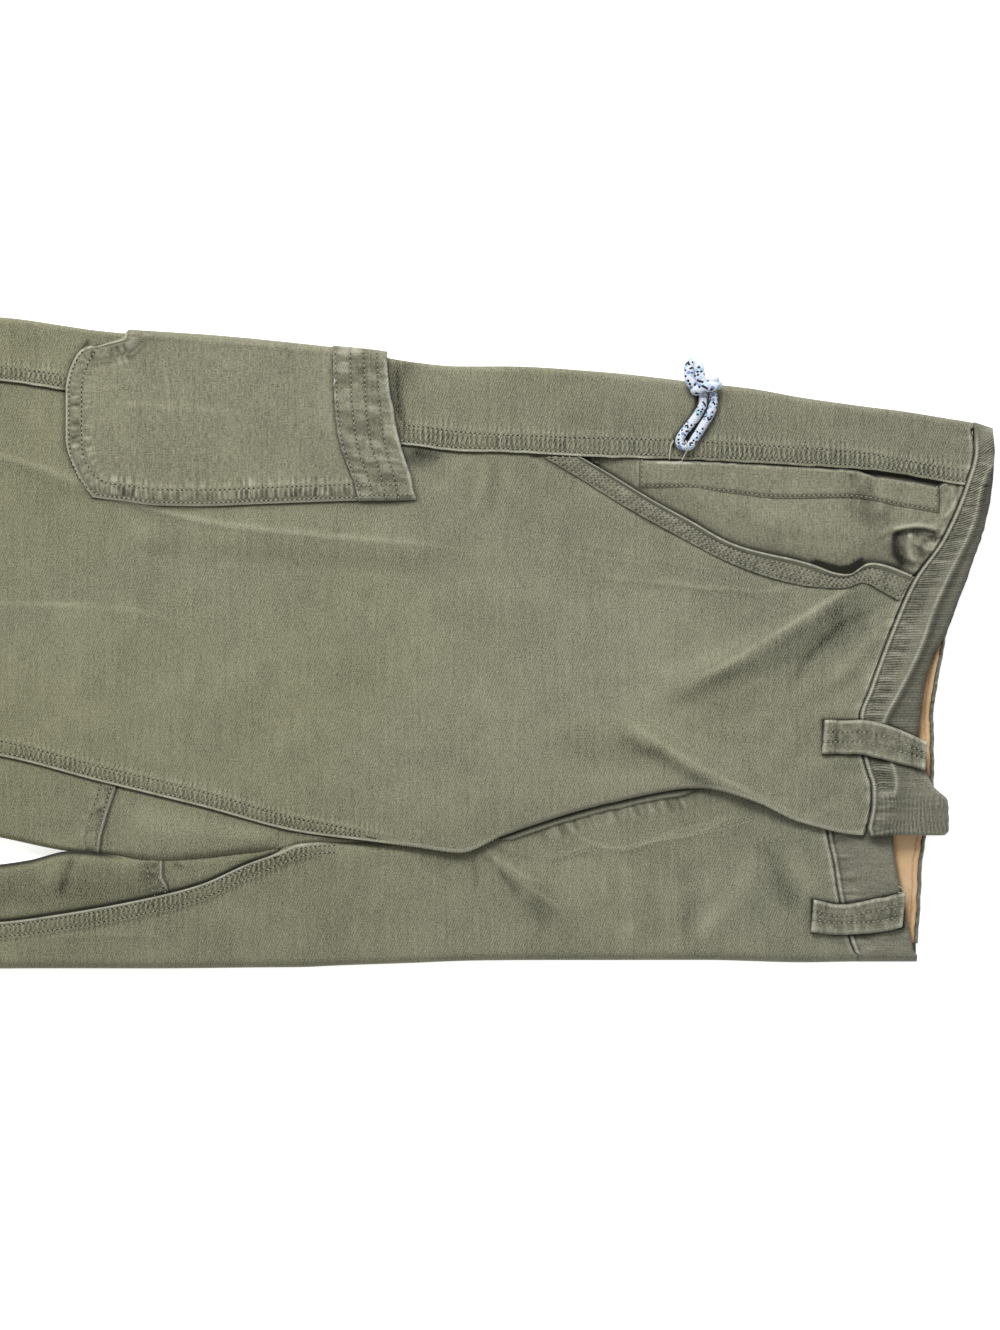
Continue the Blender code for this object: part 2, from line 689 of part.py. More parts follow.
def makeScoopPocket(cloth, light):
    """The facing between the side seam and the scoop edge, the edge band and the slot pocket's welt."""

    def facingHeight(x, y):
        edge = value(SCOOP, "edge", x)
        return rightHeight(x, y) - FACING_DROP * (1 - smooth(edge, edge + 16, y))

    rows = []
    for share in (0.0, 0.08, 0.2, 0.35, 0.5, 0.65, 0.8, 0.9, 1.0):
        row = []
        for across in (0.0, 0.3, 0.6, 0.85, 1.0):
            x = mix(360.0, waistAt(mix(83.0, 25.0, across)) - WAIST_GAP, share)
            y = mix(right("seam", x) - GAP, value(SCOOP, "edge", x) - FACING_TUCK, across)
            row.append((x, y, facingHeight(x, y)))
        rows.append(row)
    thickSheet("scoop_pocket_facing", rows, PATCH, cloth)

    rows = []
    for x in (336, 352, 368, 388, 411, 435, 467, 487, 500, 512, 522):
        edge = value(SCOOP, "edge", max(x, SCOOP[0].x)) - 0.5
        depth = SCOOP_BAND * smooth(322, 352, x)
        rows.append([(x, mix(edge, edge - depth, share)) for share in (0.0, 0.5, 1.0)])
    overlay("scoop_pocket_band", rows, TAPE, rightHeight, light)

    rows = []
    for x in (382, 400, 430, 460, 490, 515, 545):
        start = right("seam", x) - 1.0
        depth = min(WELT_DEPTH, (start - value(SCOOP, "edge", x)) * WELT_SHARE)
        rows.append([(x, mix(start, start - depth, share)) for share in (0.0, 0.5, 1.0)])
    overlay("slot_pocket_welt", rows, TAPE, lambda x, y: facingHeight(x, y) + WELT_RISE, light)


def makeCargoPocket(cloth, light):
    """The cargo pocket on the outer thigh: over the side seam, round the upper fold and under the back."""
    rows = []
    bandRows = []
    for x in [x for x in LEG_STATIONS + CROTCH_STATIONS if 66 <= x <= 256]:
        proud = GAP + CARGO_WALL
        height = right("sideHeight", x) + proud
        top = right("top", x) + CARGO_RISE
        start = value(CARGO, "low", x)
        lines = [mix(top - height / 2, start, share) for share in (0.0, 0.35, 0.65, 0.92, 1.0)]
        under = [(x, y, 0.0) for y in (CARGO_UNDER, 100.0, 122.0, top - height / 2)]
        arc = foldArc(x, top, 0.0, height, 1)[::-1]
        rows.append(under + arc + [(x, y, rightHeight(x, y) + proud) for y in lines])
        if x >= HEM_BAND_FROM:
            rise = GAP + PATCH
            arc = foldArc(x, top + rise, -rise, height + rise, 1)[::-1]
            bandRows.append(arc[ARC // 2 :] + [(x, y, rightHeight(x, y) + proud + rise) for y in lines])
    thickSheet("cargo_pocket", rows, CARGO_WALL, cloth)
    thickSheet("cargo_pocket_band", bandRows, PATCH, light)


def makeFly(cloth, dark, brass):
    """The fly shield, the zip beside it, and the button under the band's end."""
    rows = []
    for x in (304, 322, 340, 359, 380, 400, 414):
        edge = right("front", x)
        rows.append([(x, mix(edge + SHIELD_IN, edge - SHIELD_OUT, share)) for share in (0.0, 0.5, 1.0)])
    overlay("fly_shield", rows, TAPE, leftTop, cloth)
    rows = []
    for x in (306, 322, 340, 359, 380, 400, 412):
        edge = right("front", x)
        start = edge + SHIELD_IN + GAP
        rows.append([(x, mix(start + ZIP_WIDTH, start, share)) for share in (0.0, 0.5, 1.0)])
    overlay("zip", rows, TAPE, leftTop, dark)
    mesh = bmesh.new()
    radius = BUTTON_RADIUS * MM
    bmesh.ops.create_cone(mesh, cap_ends=True, segments=20, radius1=radius, radius2=radius, depth=TAPE * MM)
    lift = leftBandHeight() + GAP + TAPE / 2
    bmesh.ops.translate(mesh, verts=mesh.verts, vec=Vector((*BUTTON_CENTRE, lift)) * MM)
    place("waist_button", mesh, brass)


def leftTop(x, y):
    return left("height", x)


def makeBeltLoops(cloth):
    def overRight(x, y):
        return mix(rightHeight(x, y), rightBandHeight(x, y), smooth(486, 498, x))

    def overLeft(x, y):
        return mix(left("height", x), leftBandHeight(), smooth(478, 488, x))

    loops = (("belt_loop_right", LOOP_RIGHT, overRight), ("belt_loop_left", LOOP_LEFT, overLeft))
    for name, table, height in loops:
        rows = [[(row.x, row.high), (row.x, (row.high + row.low) / 2), (row.x, row.low)] for row in table]
        overlay(name, rows, LOOP, height, cloth)


# The pull cord's route: down one strand from the knot, round its bight and up the other.
CORD_WIDTH = 5.4
CordPoint = namedtuple("CordPoint", "x y")
CORD_ROUTE = [
    CordPoint(416.5, 132.0),
    CordPoint(415.3, 126.0),
    CordPoint(411.0, 120.0),
    CordPoint(405.0, 114.0),
    CordPoint(402.0, 108.5),
    CordPoint(401.6, 106.0),
    CordPoint(402.4, 103.6),
    CordPoint(404.6, 102.4),
    CordPoint(407.0, 103.4),
    CordPoint(408.2, 105.6),
    CordPoint(409.5, 109.0),
    CordPoint(413.0, 115.0),
    CordPoint(418.0, 121.0),
    CordPoint(421.5, 127.0),
    CordPoint(422.2, 132.5),
]
KNOT_CENTRE = (416.5, 141.5)
KNOT_SIZE = (9.5, 9.0, 4.6)
KNOT_SINK = 0.3  # it settles over the folded edge


def makePullCord(finish):
    """The short braided cord on the hidden pocket's slider, with its ends in one knot."""
    data = bpy.data.curves.new("pull_cord", "CURVE")
    data.dimensions = "3D"
    data.bevel_depth = CORD_WIDTH / 2 * MM
    data.bevel_resolution = 2
    data.use_fill_caps = True
    line = data.splines.new("POLY")
    line.points.add(len(CORD_ROUTE) - 1)
    for point, step in zip(line.points, CORD_ROUTE, strict=True):
        height = right("sideHeight", step.x) + GAP + CORD_WIDTH / 2
        point.co = (step.x * MM, step.y * MM, height * MM, 1)
    data.materials.append(finish)
    thing = bpy.data.objects.new("pull_cord", data)
    bpy.context.collection.objects.link(thing)

    mesh = bmesh.new()
    bmesh.ops.create_uvsphere(mesh, u_segments=16, v_segments=8, radius=1.0)
    for vertex in mesh.verts:
        vertex.co = Vector(side * size for side, size in zip(vertex.co, KNOT_SIZE, strict=True))
    middle = right("sideHeight", KNOT_CENTRE[0]) - KNOT_SINK + KNOT_SIZE[2]
    for vertex in mesh.verts:
        vertex.co = (vertex.co + Vector((*KNOT_CENTRE, middle))) * MM
    place("pull_knot", mesh, finish)


def main():
    for thing in list(bpy.data.objects):
        bpy.data.objects.remove(thing)
    canvas = material("canvas", CANVAS, 0.9)
    light = material("canvas_light", CANVAS_LIGHT, 0.9)
    lining = material("lining", LINING, 0.9)
    dark = material("zip_tape", DARK, 0.8)
    brass = material("button", BRASS, 0.4, 1.0)
    white = material("cord", CORD_WHITE, 0.8)
    makeRightFront(canvas)
    makeRightBack(canvas)
    makeInnerLegs(canvas, light)
    makeLeftFront(canvas)
    makeFoldedLayers(canvas)
    makeHems(light)
    makeRightWaistband(canvas)
    makeLeftWaistband(canvas)
    makeBackWaistband(canvas, lining)
    makeScoopPocket(canvas, light)
    makeCargoPocket(canvas, light)
    makeFly(canvas, dark, brass)
    makeBeltLoops(light)
    makePullCord(white)


main()
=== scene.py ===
import math

import bpy
import numpy as np
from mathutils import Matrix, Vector


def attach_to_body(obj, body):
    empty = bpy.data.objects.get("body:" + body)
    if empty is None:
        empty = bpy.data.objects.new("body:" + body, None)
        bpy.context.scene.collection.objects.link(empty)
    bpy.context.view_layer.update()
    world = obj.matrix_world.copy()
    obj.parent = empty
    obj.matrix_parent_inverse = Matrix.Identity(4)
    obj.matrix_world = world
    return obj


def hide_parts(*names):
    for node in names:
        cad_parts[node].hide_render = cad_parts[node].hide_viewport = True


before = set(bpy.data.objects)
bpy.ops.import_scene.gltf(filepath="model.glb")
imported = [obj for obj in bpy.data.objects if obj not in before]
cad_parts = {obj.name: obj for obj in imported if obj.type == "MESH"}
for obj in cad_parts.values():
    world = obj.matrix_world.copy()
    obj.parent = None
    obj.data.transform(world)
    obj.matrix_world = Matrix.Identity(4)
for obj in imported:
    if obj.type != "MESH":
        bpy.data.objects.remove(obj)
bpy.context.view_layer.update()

# canvas trousers laid flat, front up, legs towards -X and waist towards +X, right outseam at +Y
# lengths below are millimetres, mm turns them into metres
mm = 0.001
garmentBody = "root"

# camera and lights, and how bright the floor is

view = {
    "centreX": 304.0, "centreY": -14.75, "frameHeight": 731.5, "lens": 120.0, "film": 36.0,
    "clothTop": 10.0,
}
light = {"world": 0.42, "key": 52.0, "keySize": 1.4, "fill": 5.0, "floor": 0.93, "floorGlow": 0.62}


def placed(name, data):
    thing = bpy.data.objects.new(name, data)
    bpy.context.collection.objects.link(thing)
    return thing


def aim(thing, target):
    away = Vector(target) - thing.location
    thing.rotation_euler = away.to_track_quat("-Z", "Y").to_euler()


def makeCamera():
    data = bpy.data.cameras.new("camera")
    data.lens = view["lens"]
    data.sensor_width = view["film"]
    distance = view["frameHeight"] * mm * view["lens"] / view["film"]
    camera = placed("camera", data)
    camera.location = (view["centreX"] * mm, view["centreY"] * mm, distance + view["clothTop"] * mm)
    bpy.context.scene.camera = camera


def makeLights():
    world = bpy.data.worlds.new("studio")
    world.use_nodes = True
    world.node_tree.nodes["Background"].inputs["Color"].default_value = (1.0, 1.0, 1.0, 1.0)
    world.node_tree.nodes["Background"].inputs["Strength"].default_value = light["world"]
    bpy.context.scene.world = world
    target = (view["centreX"] * mm, view["centreY"] * mm, 0.0)
    for name, place, power in (
        ("softboxKey", (0.0, 1.6, 1.35), light["key"]),
        ("softboxFill", (0.95, -1.1, 1.5), light["fill"]),
    ):
        data = bpy.data.lights.new(name, "AREA")
        data.shape = "RECTANGLE"
        data.size = light["keySize"]
        data.size_y = 0.7
        data.energy = power
        lamp = placed(name, data)
        lamp.location = place
        aim(lamp, target)


# small maths helpers


def unit(value):
    return np.clip(value, 0.0, 1.0)


def eased(t):
    return t * t * (3 - 2 * t)


# 0 below low and 1 above high, eased between them
def step(low, high, at):
    return eased(unit((np.asarray(at, float) - low) / (high - low)))


def fall(low, high, at):
    return 1 - step(low, high, at)


# up from a to b, then down from c to d
def span(a, b, c, d, at):
    return step(a, b, at) * fall(c, d, at)


# grids laid side by side, one result for each grid of a part
def welded(*parts):
    return [np.concatenate(grids, 1) for grids in zip(*parts)]


def mix(a, b, share):
    return a + (b - a) * share


def bell(distance, width):
    return np.exp(-((distance / width) ** 2))


# a smooth curve through (key, value) rows that never overshoots, the same as the cut pattern uses
def smoothLine(rows, at, column=1):
    keys = np.array([row[0] for row in rows], float)
    values = np.array([row[column] for row in rows], float)
    at = np.clip(np.asarray(at, float), keys[0], keys[-1])
    slopes = np.diff(values) / np.diff(keys)
    turns = np.empty(len(keys))
    turns[0] = slopes[0]
    turns[-1] = slopes[-1]
    for k in range(1, len(keys) - 1):
        a = slopes[k - 1]
        b = slopes[k]
        turns[k] = 0.0 if a * b <= 0 else 2 * a * b / (a + b)
    i = np.clip(np.searchsorted(keys, at, side="right") - 1, 0, len(slopes) - 1)
    gap = keys[i + 1] - keys[i]
    t = (at - keys[i]) / gap
    return (
        values[i] * (1 + 2 * t) * (1 - t) ** 2
        + values[i + 1] * t * t * (3 - 2 * t)
        + turns[i] * gap * t * (1 - t) ** 2
        - turns[i + 1] * gap * t * t * (1 - t)
    )


def lattice(i, j, seed):
    h = (i * 374761393 + j * 668265263 + seed * 974634777) & 0xFFFFFFFF
    h = ((h ^ (h >> 13)) * 1274126177) & 0xFFFFFFFF
    return ((h ^ (h >> 16)) & 0xFFFF) / 32767.5 - 1.0


# smooth random waves between -1 and 1, one wave for each unit of x and y
def waves(x, y, seed):
    x, y = np.broadcast_arrays(np.asarray(x, float), np.asarray(y, float))
    i = np.floor(x).astype(np.int64)
    j = np.floor(y).astype(np.int64)
    u = eased(x - i)
    v = eased(y - j)
    low = mix(lattice(i, j, seed), lattice(i + 1, j, seed), u)
    high = mix(lattice(i, j + 1, seed), lattice(i + 1, j + 1, seed), u)
    return mix(low, high, v)


# distance to a line of points, how far along it that is, and which side (positive on its left)
def nearLine(x, y, points):
    x = np.asarray(x, float)
    best = np.full(x.shape, 1e9)
    along = np.zeros(x.shape)
    side = np.zeros(x.shape)
    run = 0.0
    for (x0, y0), (x1, y1) in zip(points, points[1:]):
        dx = x1 - x0
        dy = y1 - y0
        size = math.hypot(dx, dy)
        t = unit(((x - x0) * dx + (y - y0) * dy) / size**2)
        away = np.hypot(x - x0 - dx * t, y - y0 - dy * t)
        closer = away < best
        best = np.where(closer, away, best)
        along = np.where(closer, run + t * size, along)
        side = np.where(closer, dx * (y - y0) - dy * (x - x0), side)
        run += size
    return best, along, np.where(side >= 0, 1.0, -1.0), run


# which points lie close enough to a line to feel it
def nearby(x, y, line, reach):
    xs = [p[0] for p in line]
    ys = [p[1] for p in line]
    return (x > min(xs) - reach) & (x < max(xs) + reach) & (y > min(ys) - reach) & (y < max(ys) + reach)


# rounds the corners of a given line
def softened(points, rounds=2):
    for _ in range(rounds):
        out = [points[0]]
        for a, b in zip(points, points[1:]):
            out.append((a[0] * 0.75 + b[0] * 0.25, a[1] * 0.75 + b[1] * 0.25))
            out.append((a[0] * 0.25 + b[0] * 0.75, a[1] * 0.25 + b[1] * 0.75))
        out.append(points[-1])
        points = out
    return points


# mesh helpers


def gridNormals(points):
    alongRows = np.empty_like(points)
    across = np.empty_like(points)
    alongRows[1:-1] = points[2:] - points[:-2]
    alongRows[0] = points[1] - points[0]
    alongRows[-1] = points[-1] - points[-2]
    across[:, 1:-1] = points[:, 2:] - points[:, :-2]
    across[:, 0] = points[:, 1] - points[:, 0]
    across[:, -1] = points[:, -1] - points[:, -2]
    normals = np.cross(alongRows, across)
    return normals / np.maximum(np.linalg.norm(normals, axis=2, keepdims=True), 1e-9)


def everyThird(count):
    picks = list(range(0, count - 1, 3))
    return np.array([*picks, count - 1])


def addAttribute(mesh, name, values):
    attribute = mesh.attributes.new(name, "FLOAT", "POINT")
    attribute.data.foreach_set("value", np.asarray(values, np.float32).ravel())


# the sides of a stack of rings and its two ends
def ringFaces(rings, around, base=0):
    faces = []
    for low in range(base, base + (rings - 1) * around, around):
        for j in range(around):
            k = (j + 1) % around
            faces.append((low + j, low + around + j, low + around + k, low + k))
    last = base + (rings - 1) * around
    return [*faces, tuple(range(base, base + around)), tuple(reversed(range(last, last + around)))]


# the cloth's own map, from one flat place in metres for each point
def layOut(mesh, flat):
    corners = np.empty(len(mesh.loops), np.int32)
    mesh.loops.foreach_get("vertex_index", corners)
    layer = mesh.uv_layers.new(name="cloth")
    layer.data.foreach_set("uv", flat[corners].astype(np.float32).ravel())


# a closed cloth shell: points is a grid of its outside, rows along +X and columns so that the outside is on
# their left. The inside lies wall within it on a grid three times as coarse.
def shellFromGrid(name, points, wall, finish, wearAndHighlight=0.0, shade=0.0, ribs=0.0, toneAndShading=0.0, swapWeave=False):
    points = np.asarray(points, float)
    rows, columns, _ = points.shape
    normals = gridNormals(points)
    pickRows = everyThird(rows)
    pickColumns = everyThird(columns)
    picks = np.ix_(pickRows, pickColumns)
    inside = (points - normals * wall)[picks]
    insideColumns = len(pickColumns)
    verts = np.concatenate([points.reshape(-1, 3), inside.reshape(-1, 3)]) * mm
    base = rows * columns

    def outer(i, j):
        return i * columns + j

    def inner(i, j):
        return base + i * insideColumns + j

    i, j = np.meshgrid(np.arange(rows - 1), np.arange(columns - 1), indexing="ij")
    i = i.ravel()
    j = j.ravel()
    faces = np.stack([outer(i, j), outer(i + 1, j), outer(i + 1, j + 1), outer(i, j + 1)], 1).tolist()
    i, j = np.meshgrid(np.arange(len(pickRows) - 1), np.arange(insideColumns - 1), indexing="ij")
    i = i.ravel()
    j = j.ravel()
    faces += np.stack([inner(i, j), inner(i, j + 1), inner(i + 1, j + 1), inner(i + 1, j)], 1).tolist()
    for a in range(len(pickRows) - 1):
        first = int(pickRows[a])
        last = int(pickRows[a + 1])
        run = range(first, last + 1)
        faces.append([outer(k, 0) for k in reversed(run)] + [inner(a, 0), inner(a + 1, 0)])
        end = insideColumns - 1
        faces.append([outer(k, columns - 1) for k in run] + [inner(a + 1, end), inner(a, end)])
    for a in range(insideColumns - 1):
        first = int(pickColumns[a])
        last = int(pickColumns[a + 1])
        run = range(first, last + 1)
        end = len(pickRows) - 1
        faces.append([outer(0, k) for k in run] + [inner(0, a + 1), inner(0, a)])
        faces.append([outer(rows - 1, k) for k in reversed(run)] + [inner(end, a), inner(end, a + 1)])
    mesh = bpy.data.meshes.new(name)
    mesh.from_pydata(verts.tolist(), [], faces)
    mesh.polygons.foreach_set("use_smooth", np.ones(len(mesh.polygons), bool))
    # per point: pale of rubbed edges and painted highlights, painted shade, where ribs pucker, and the
    # cloth's uneven colour with painted light and shade
    for attribute, values in (("wearAndHighlight", wearAndHighlight), ("shade", shade), ("ribs", ribs), ("toneAndShading", toneAndShading)):
        full = np.broadcast_to(np.asarray(values, float), (rows, columns))
        addAttribute(mesh, attribute, np.concatenate([full.ravel(), full[picks].ravel()]))
    # threads run along the rows and across them, measured on the cloth itself
    acrossLength = np.zeros((rows, columns))
    acrossLength[:, 1:] = np.cumsum(np.linalg.norm(np.diff(points, axis=1), axis=2), axis=1)
    middle = slice(columns // 2, columns // 2 + 1)
    acrossLength -= acrossLength[:, middle] - points[:, middle, 1]
    grain = np.stack([points[:, :, 0], acrossLength], 2)
    if swapWeave:
        grain = grain[:, :, ::-1]
    layOut(mesh, np.concatenate([grain.reshape(-1, 2), grain[picks].reshape(-1, 2)]) * mm)
    mesh.materials.append(finish)
    return placed(name, mesh)


def meshPiece(name, verts, faces, finish, smooth=True):
    mesh = bpy.data.meshes.new(name)
    mesh.from_pydata([tuple(v) for v in verts], [], [tuple(f) for f in faces])
    mesh.polygons.foreach_set("use_smooth", np.full(len(mesh.polygons), smooth))
    mesh.materials.append(finish)
    return placed(name, mesh)


# finished pieces by name
made = {}


# hangs a finished piece on the garment, in place of the solids it covers
def attach(piece, slot, *nodes):
    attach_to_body(piece, garmentBody)
    if nodes:
        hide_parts(*nodes)
    made[piece.name] = piece


# a cloth shell through a grid of x, y and z, attached
def sew(
    name, nodes, grid, wall, finish, paleTint=0.0, dark=0.0, ribs=0.0, toneAndShading=0.0, slot="canvas", swapWeave=False
):
    # the painted shade laid on the cloth
    shade = np.clip(dark, 0.0, 0.98)
    piece = shellFromGrid(name, np.stack(grid, 2), wall, finishes[finish], paleTint, shade, ribs, toneAndShading, swapWeave)
    attach(piece, slot, *nodes)


makeCamera()
makeLights()
print("camera and lights ready")

# materials


# one node, its settings, and what feeds its inputs: another node's socket or a value
def addNode(tree, kind, inputs, **settings):
    node = tree.nodes.new(kind)
    for key, setting in settings.items():
        setattr(node, key, setting)
    for key, source in inputs.items():
        if isinstance(source, bpy.types.NodeSocket):
            tree.links.new(source, node.inputs[key])
        else:
            node.inputs[key].default_value = source
    return node


class NodeTable:
    # a material's nodes, added one by one and joined as they are made
    def __init__(self, name, roughness, sheen=0.0):
        self.material = bpy.data.materials.new(name)
        self.material.use_nodes = True
        self.tree = self.material.node_tree
        self.shader = self.tree.nodes["Principled BSDF"]
        self.shader.inputs["Roughness"].default_value = roughness
        self.shader.inputs["Sheen Weight"].default_value = sheen
        self.shader.inputs["Specular IOR Level"].default_value = 0.25

    def add(self, kind, inputs=None, **settings):
        return addNode(self.tree, kind, inputs or {}, **settings)

    def place(self):
        return self.add("ShaderNodeTexCoord").outputs["Object"]

    def grain(self):
        return self.add("ShaderNodeUVMap", uv_map="cloth").outputs["UV"]

    def value(self, name):
        return self.add("ShaderNodeAttribute", attribute_name=name).outputs["Fac"]

    def maths(self, operation, a, b=0.0, c=0.0):
        return self.add("ShaderNodeMath", {0: a, 1: b, 2: c}, operation=operation).outputs[0]

    # base, and gain times what source has over middle
    def around(self, source, gain, base, middle=0.5):
        return self.maths("MULTIPLY_ADD", self.maths("SUBTRACT", source, middle), gain, base)

    def within(self, value, top=1.0):
        return self.maths("MINIMUM", self.maths("MAXIMUM", value, 0.0), top)

    def scaled(self, vector, size):
        return self.add("ShaderNodeVectorMath", {0: vector, 1: size}, operation="MULTIPLY").outputs[0]

    def turned(self, vector, degrees, size):
        inputs = {"Vector": vector, "Rotation": (0.0, 0.0, math.radians(degrees)), "Scale": (size, size, 1.0)}
        return self.add("ShaderNodeMapping", inputs).outputs[0]

    def noise(self, vector, size, detail=2.0, roughness=0.5):
        inputs = {"Vector": self.scaled(vector, size), "Scale": 1.0, "Detail": detail, "Roughness": roughness}
        return self.add("ShaderNodeTexNoise", inputs).outputs["Fac"]

    def wave(self, vector, distortion, detail=1.0, detailScale=1.0):
        inputs = {"Vector": vector, "Scale": 1.0, "Distortion": distortion, "Detail": detail,
                  "Detail Scale": detailScale}
        return self.add("ShaderNodeTexWave", inputs).outputs["Fac"]

    def blend(self, share, a, b):
        return self.add("ShaderNodeMix", {"Factor": share, 6: a, 7: b}, data_type="RGBA").outputs[2]

    def bump(self, height, strength, distance, **under):
        inputs = {"Height": height, "Strength": strength, "Distance": distance, **under}
        return self.add("ShaderNodeBump", inputs).outputs["Normal"]

    def finished(self, color, normal):
        self.tree.links.new(color, self.shader.inputs["Base Color"])
        self.tree.links.new(normal, self.shader.inputs["Normal"])
        return self.material


canvas = {
    "color": (0.199, 0.197, 0.139, 1.0),
    "warm": (0.191, 0.187, 0.113, 1.0),
    # the pale of rubbed threads, also the colour of painted highlights
    "paleTint": (0.43, 0.42, 0.33, 1.0),
    # colour of the painted shade
    "paintedShade": (0.012, 0.012, 0.008, 1.0),
    "yarn": 0.7,  # mm between threads
    "streak": 0.75,
    "speckle": 1.5,
    "twill": 0.12,
    "twillPitch": 245.0,
    "twillSlant": 22.0,
    "ribPitch": 2.7,
    # how strongly the ribs are painted lighter on their crests and darker in their troughs
    "ribShading": 0.6,
    "roughness": 0.93,
}


# washed canvas: fine threads, slubs along the weft, blotches from washing, pale rubbed edges, painted
# highlights on ridges and pucker crests, painted shade in creases, grooves and under edges
def canvasFinish(name, **changes):
    look = {**canvas, **changes}
    table = NodeTable(name, look["roughness"], 0.12)
    place = table.place()
    grain = table.grain()
    yarn = 1000.0 / look["yarn"]
    weft = table.noise(grain, (yarn, yarn * 0.16, 1.0), 2.0, 0.6)
    warp = table.noise(grain, (yarn * 0.25, yarn * 0.9, 1.0), 2.0, 0.6)
    speck = table.noise(grain, (yarn * 0.75, yarn * 0.75, 1.0), 1.0, 0.6)
    blotch = table.noise(place, (22.0, 22.0, 22.0), 4.0, 0.6)
    cloud = table.noise(place, (7.0, 9.0, 9.0))
    slub = table.noise(grain, (600.0, 28.0, 1.0), 1.0)
    line = table.wave(table.turned(grain, look["twillSlant"], look["twillPitch"]), 1.4, 1.0, 2.0)

    # brightness of the threads round 1
    bright = 1.0
    for source, gain in (
        (weft, look["streak"]), (warp, look["streak"] * 0.7), (speck, look["speckle"]),
        (slub, 0.4), (blotch, 0.5), (line, look["twill"]),
    ):
        bright = table.around(source, gain, bright)
    # painted light and shade per point, added to the cloth's own uneven brightness
    bright = table.maths("ADD", bright, table.value("toneAndShading"))
    ribLine = table.wave(table.scaled(grain, (314.16 / look["ribPitch"], 60.0, 1.0)), 2.6, 2.0, 1.5)
    ribHeight = table.maths("MULTIPLY", table.maths("SUBTRACT", ribLine, 0.5), table.value("ribs"))
    # painted shading of the ribs: lighter crests, darker troughs
    bright = table.maths("MULTIPLY_ADD", ribHeight, look["ribShading"], bright)
    # yellower down the legs
    along = table.add("ShaderNodeSeparateXYZ", {0: place}).outputs[0]
    share = table.maths("MULTIPLY_ADD", cloud, 1.2, table.maths("MULTIPLY_ADD", along, -1.6, 0.15))
    color = table.blend(table.within(share), look["color"], look["warm"])
    grey = table.add("ShaderNodeCombineXYZ", {0: bright, 1: bright, 2: bright}).outputs[0]
    color = table.scaled(color, grey)
    # pale rubbed threads and painted highlights
    paleTint = table.maths("MULTIPLY", table.value("wearAndHighlight"), table.maths("MULTIPLY_ADD", speck, 1.5, 0.25))
    color = table.blend(table.within(paleTint), color, look["paleTint"])
    # painted shade
    color = table.blend(table.within(table.value("shade")), color, look["paintedShade"])

    coarse = table.bump(ribHeight, 0.9, 0.0007)
    height = table.maths("ADD", weft, table.maths("MULTIPLY", warp, 0.7))
    height = table.maths("MULTIPLY_ADD", line, look["twill"] * 4, height)
    return table.finished(color, table.bump(height, 0.55, 0.00035, Normal=coarse))


twill = {
    "color": (0.63, 0.425, 0.235, 1.0),
    "dark": (0.45, 0.28, 0.14, 1.0),
    "paleTint": (0.74, 0.55, 0.36, 1.0),
    "paintedShade": (0.12, 0.06, 0.025, 1.0),
}


# tan cotton twill of the band's lining
def liningFinish():
    table = NodeTable("liningTwill", 0.88, 0.1)
    grain = table.grain()
    line = table.wave(table.turned(grain, 55.0, 300.0), 1.0)
    speck = table.noise(grain, (1300.0, 700.0, 1.0), 2.0, 0.6)
    blotch = table.noise(table.place(), (60.0, 60.0, 60.0), 3.0, 0.6)
    share = table.maths("MULTIPLY_ADD", line, 0.3, table.maths("MULTIPLY", speck, 0.35))
    color = table.blend(share, twill["color"], twill["dark"])
    pale = table.maths("MULTIPLY", table.maths("SUBTRACT", blotch, 0.42), 1.6)
    color = table.blend(table.maths("MAXIMUM", pale, 0.0), color, twill["paleTint"])
    # painted shade
    color = table.blend(table.within(table.value("shade")), color, twill["paintedShade"])
    return table.finished(color, table.bump(table.maths("ADD", line, speck), 0.5, 0.0003))


braid = {
    "white": (0.62, 0.65, 0.74, 1.0),
    "pale": (0.40, 0.53, 0.66, 1.0),
    "teal": (0.24, 0.42, 0.50, 1.0),
    "blue": (0.12, 0.22, 0.46, 1.0),
    "black": (0.012, 0.013, 0.02, 1.0),
    # colour of the painted shade between the yarns
    "between": (0.26, 0.29, 0.36, 1.0),
    "patch": (5.0, 2.7),  # yarns round the cord, mm along it
    "dash": (9.0, 1.5),
}


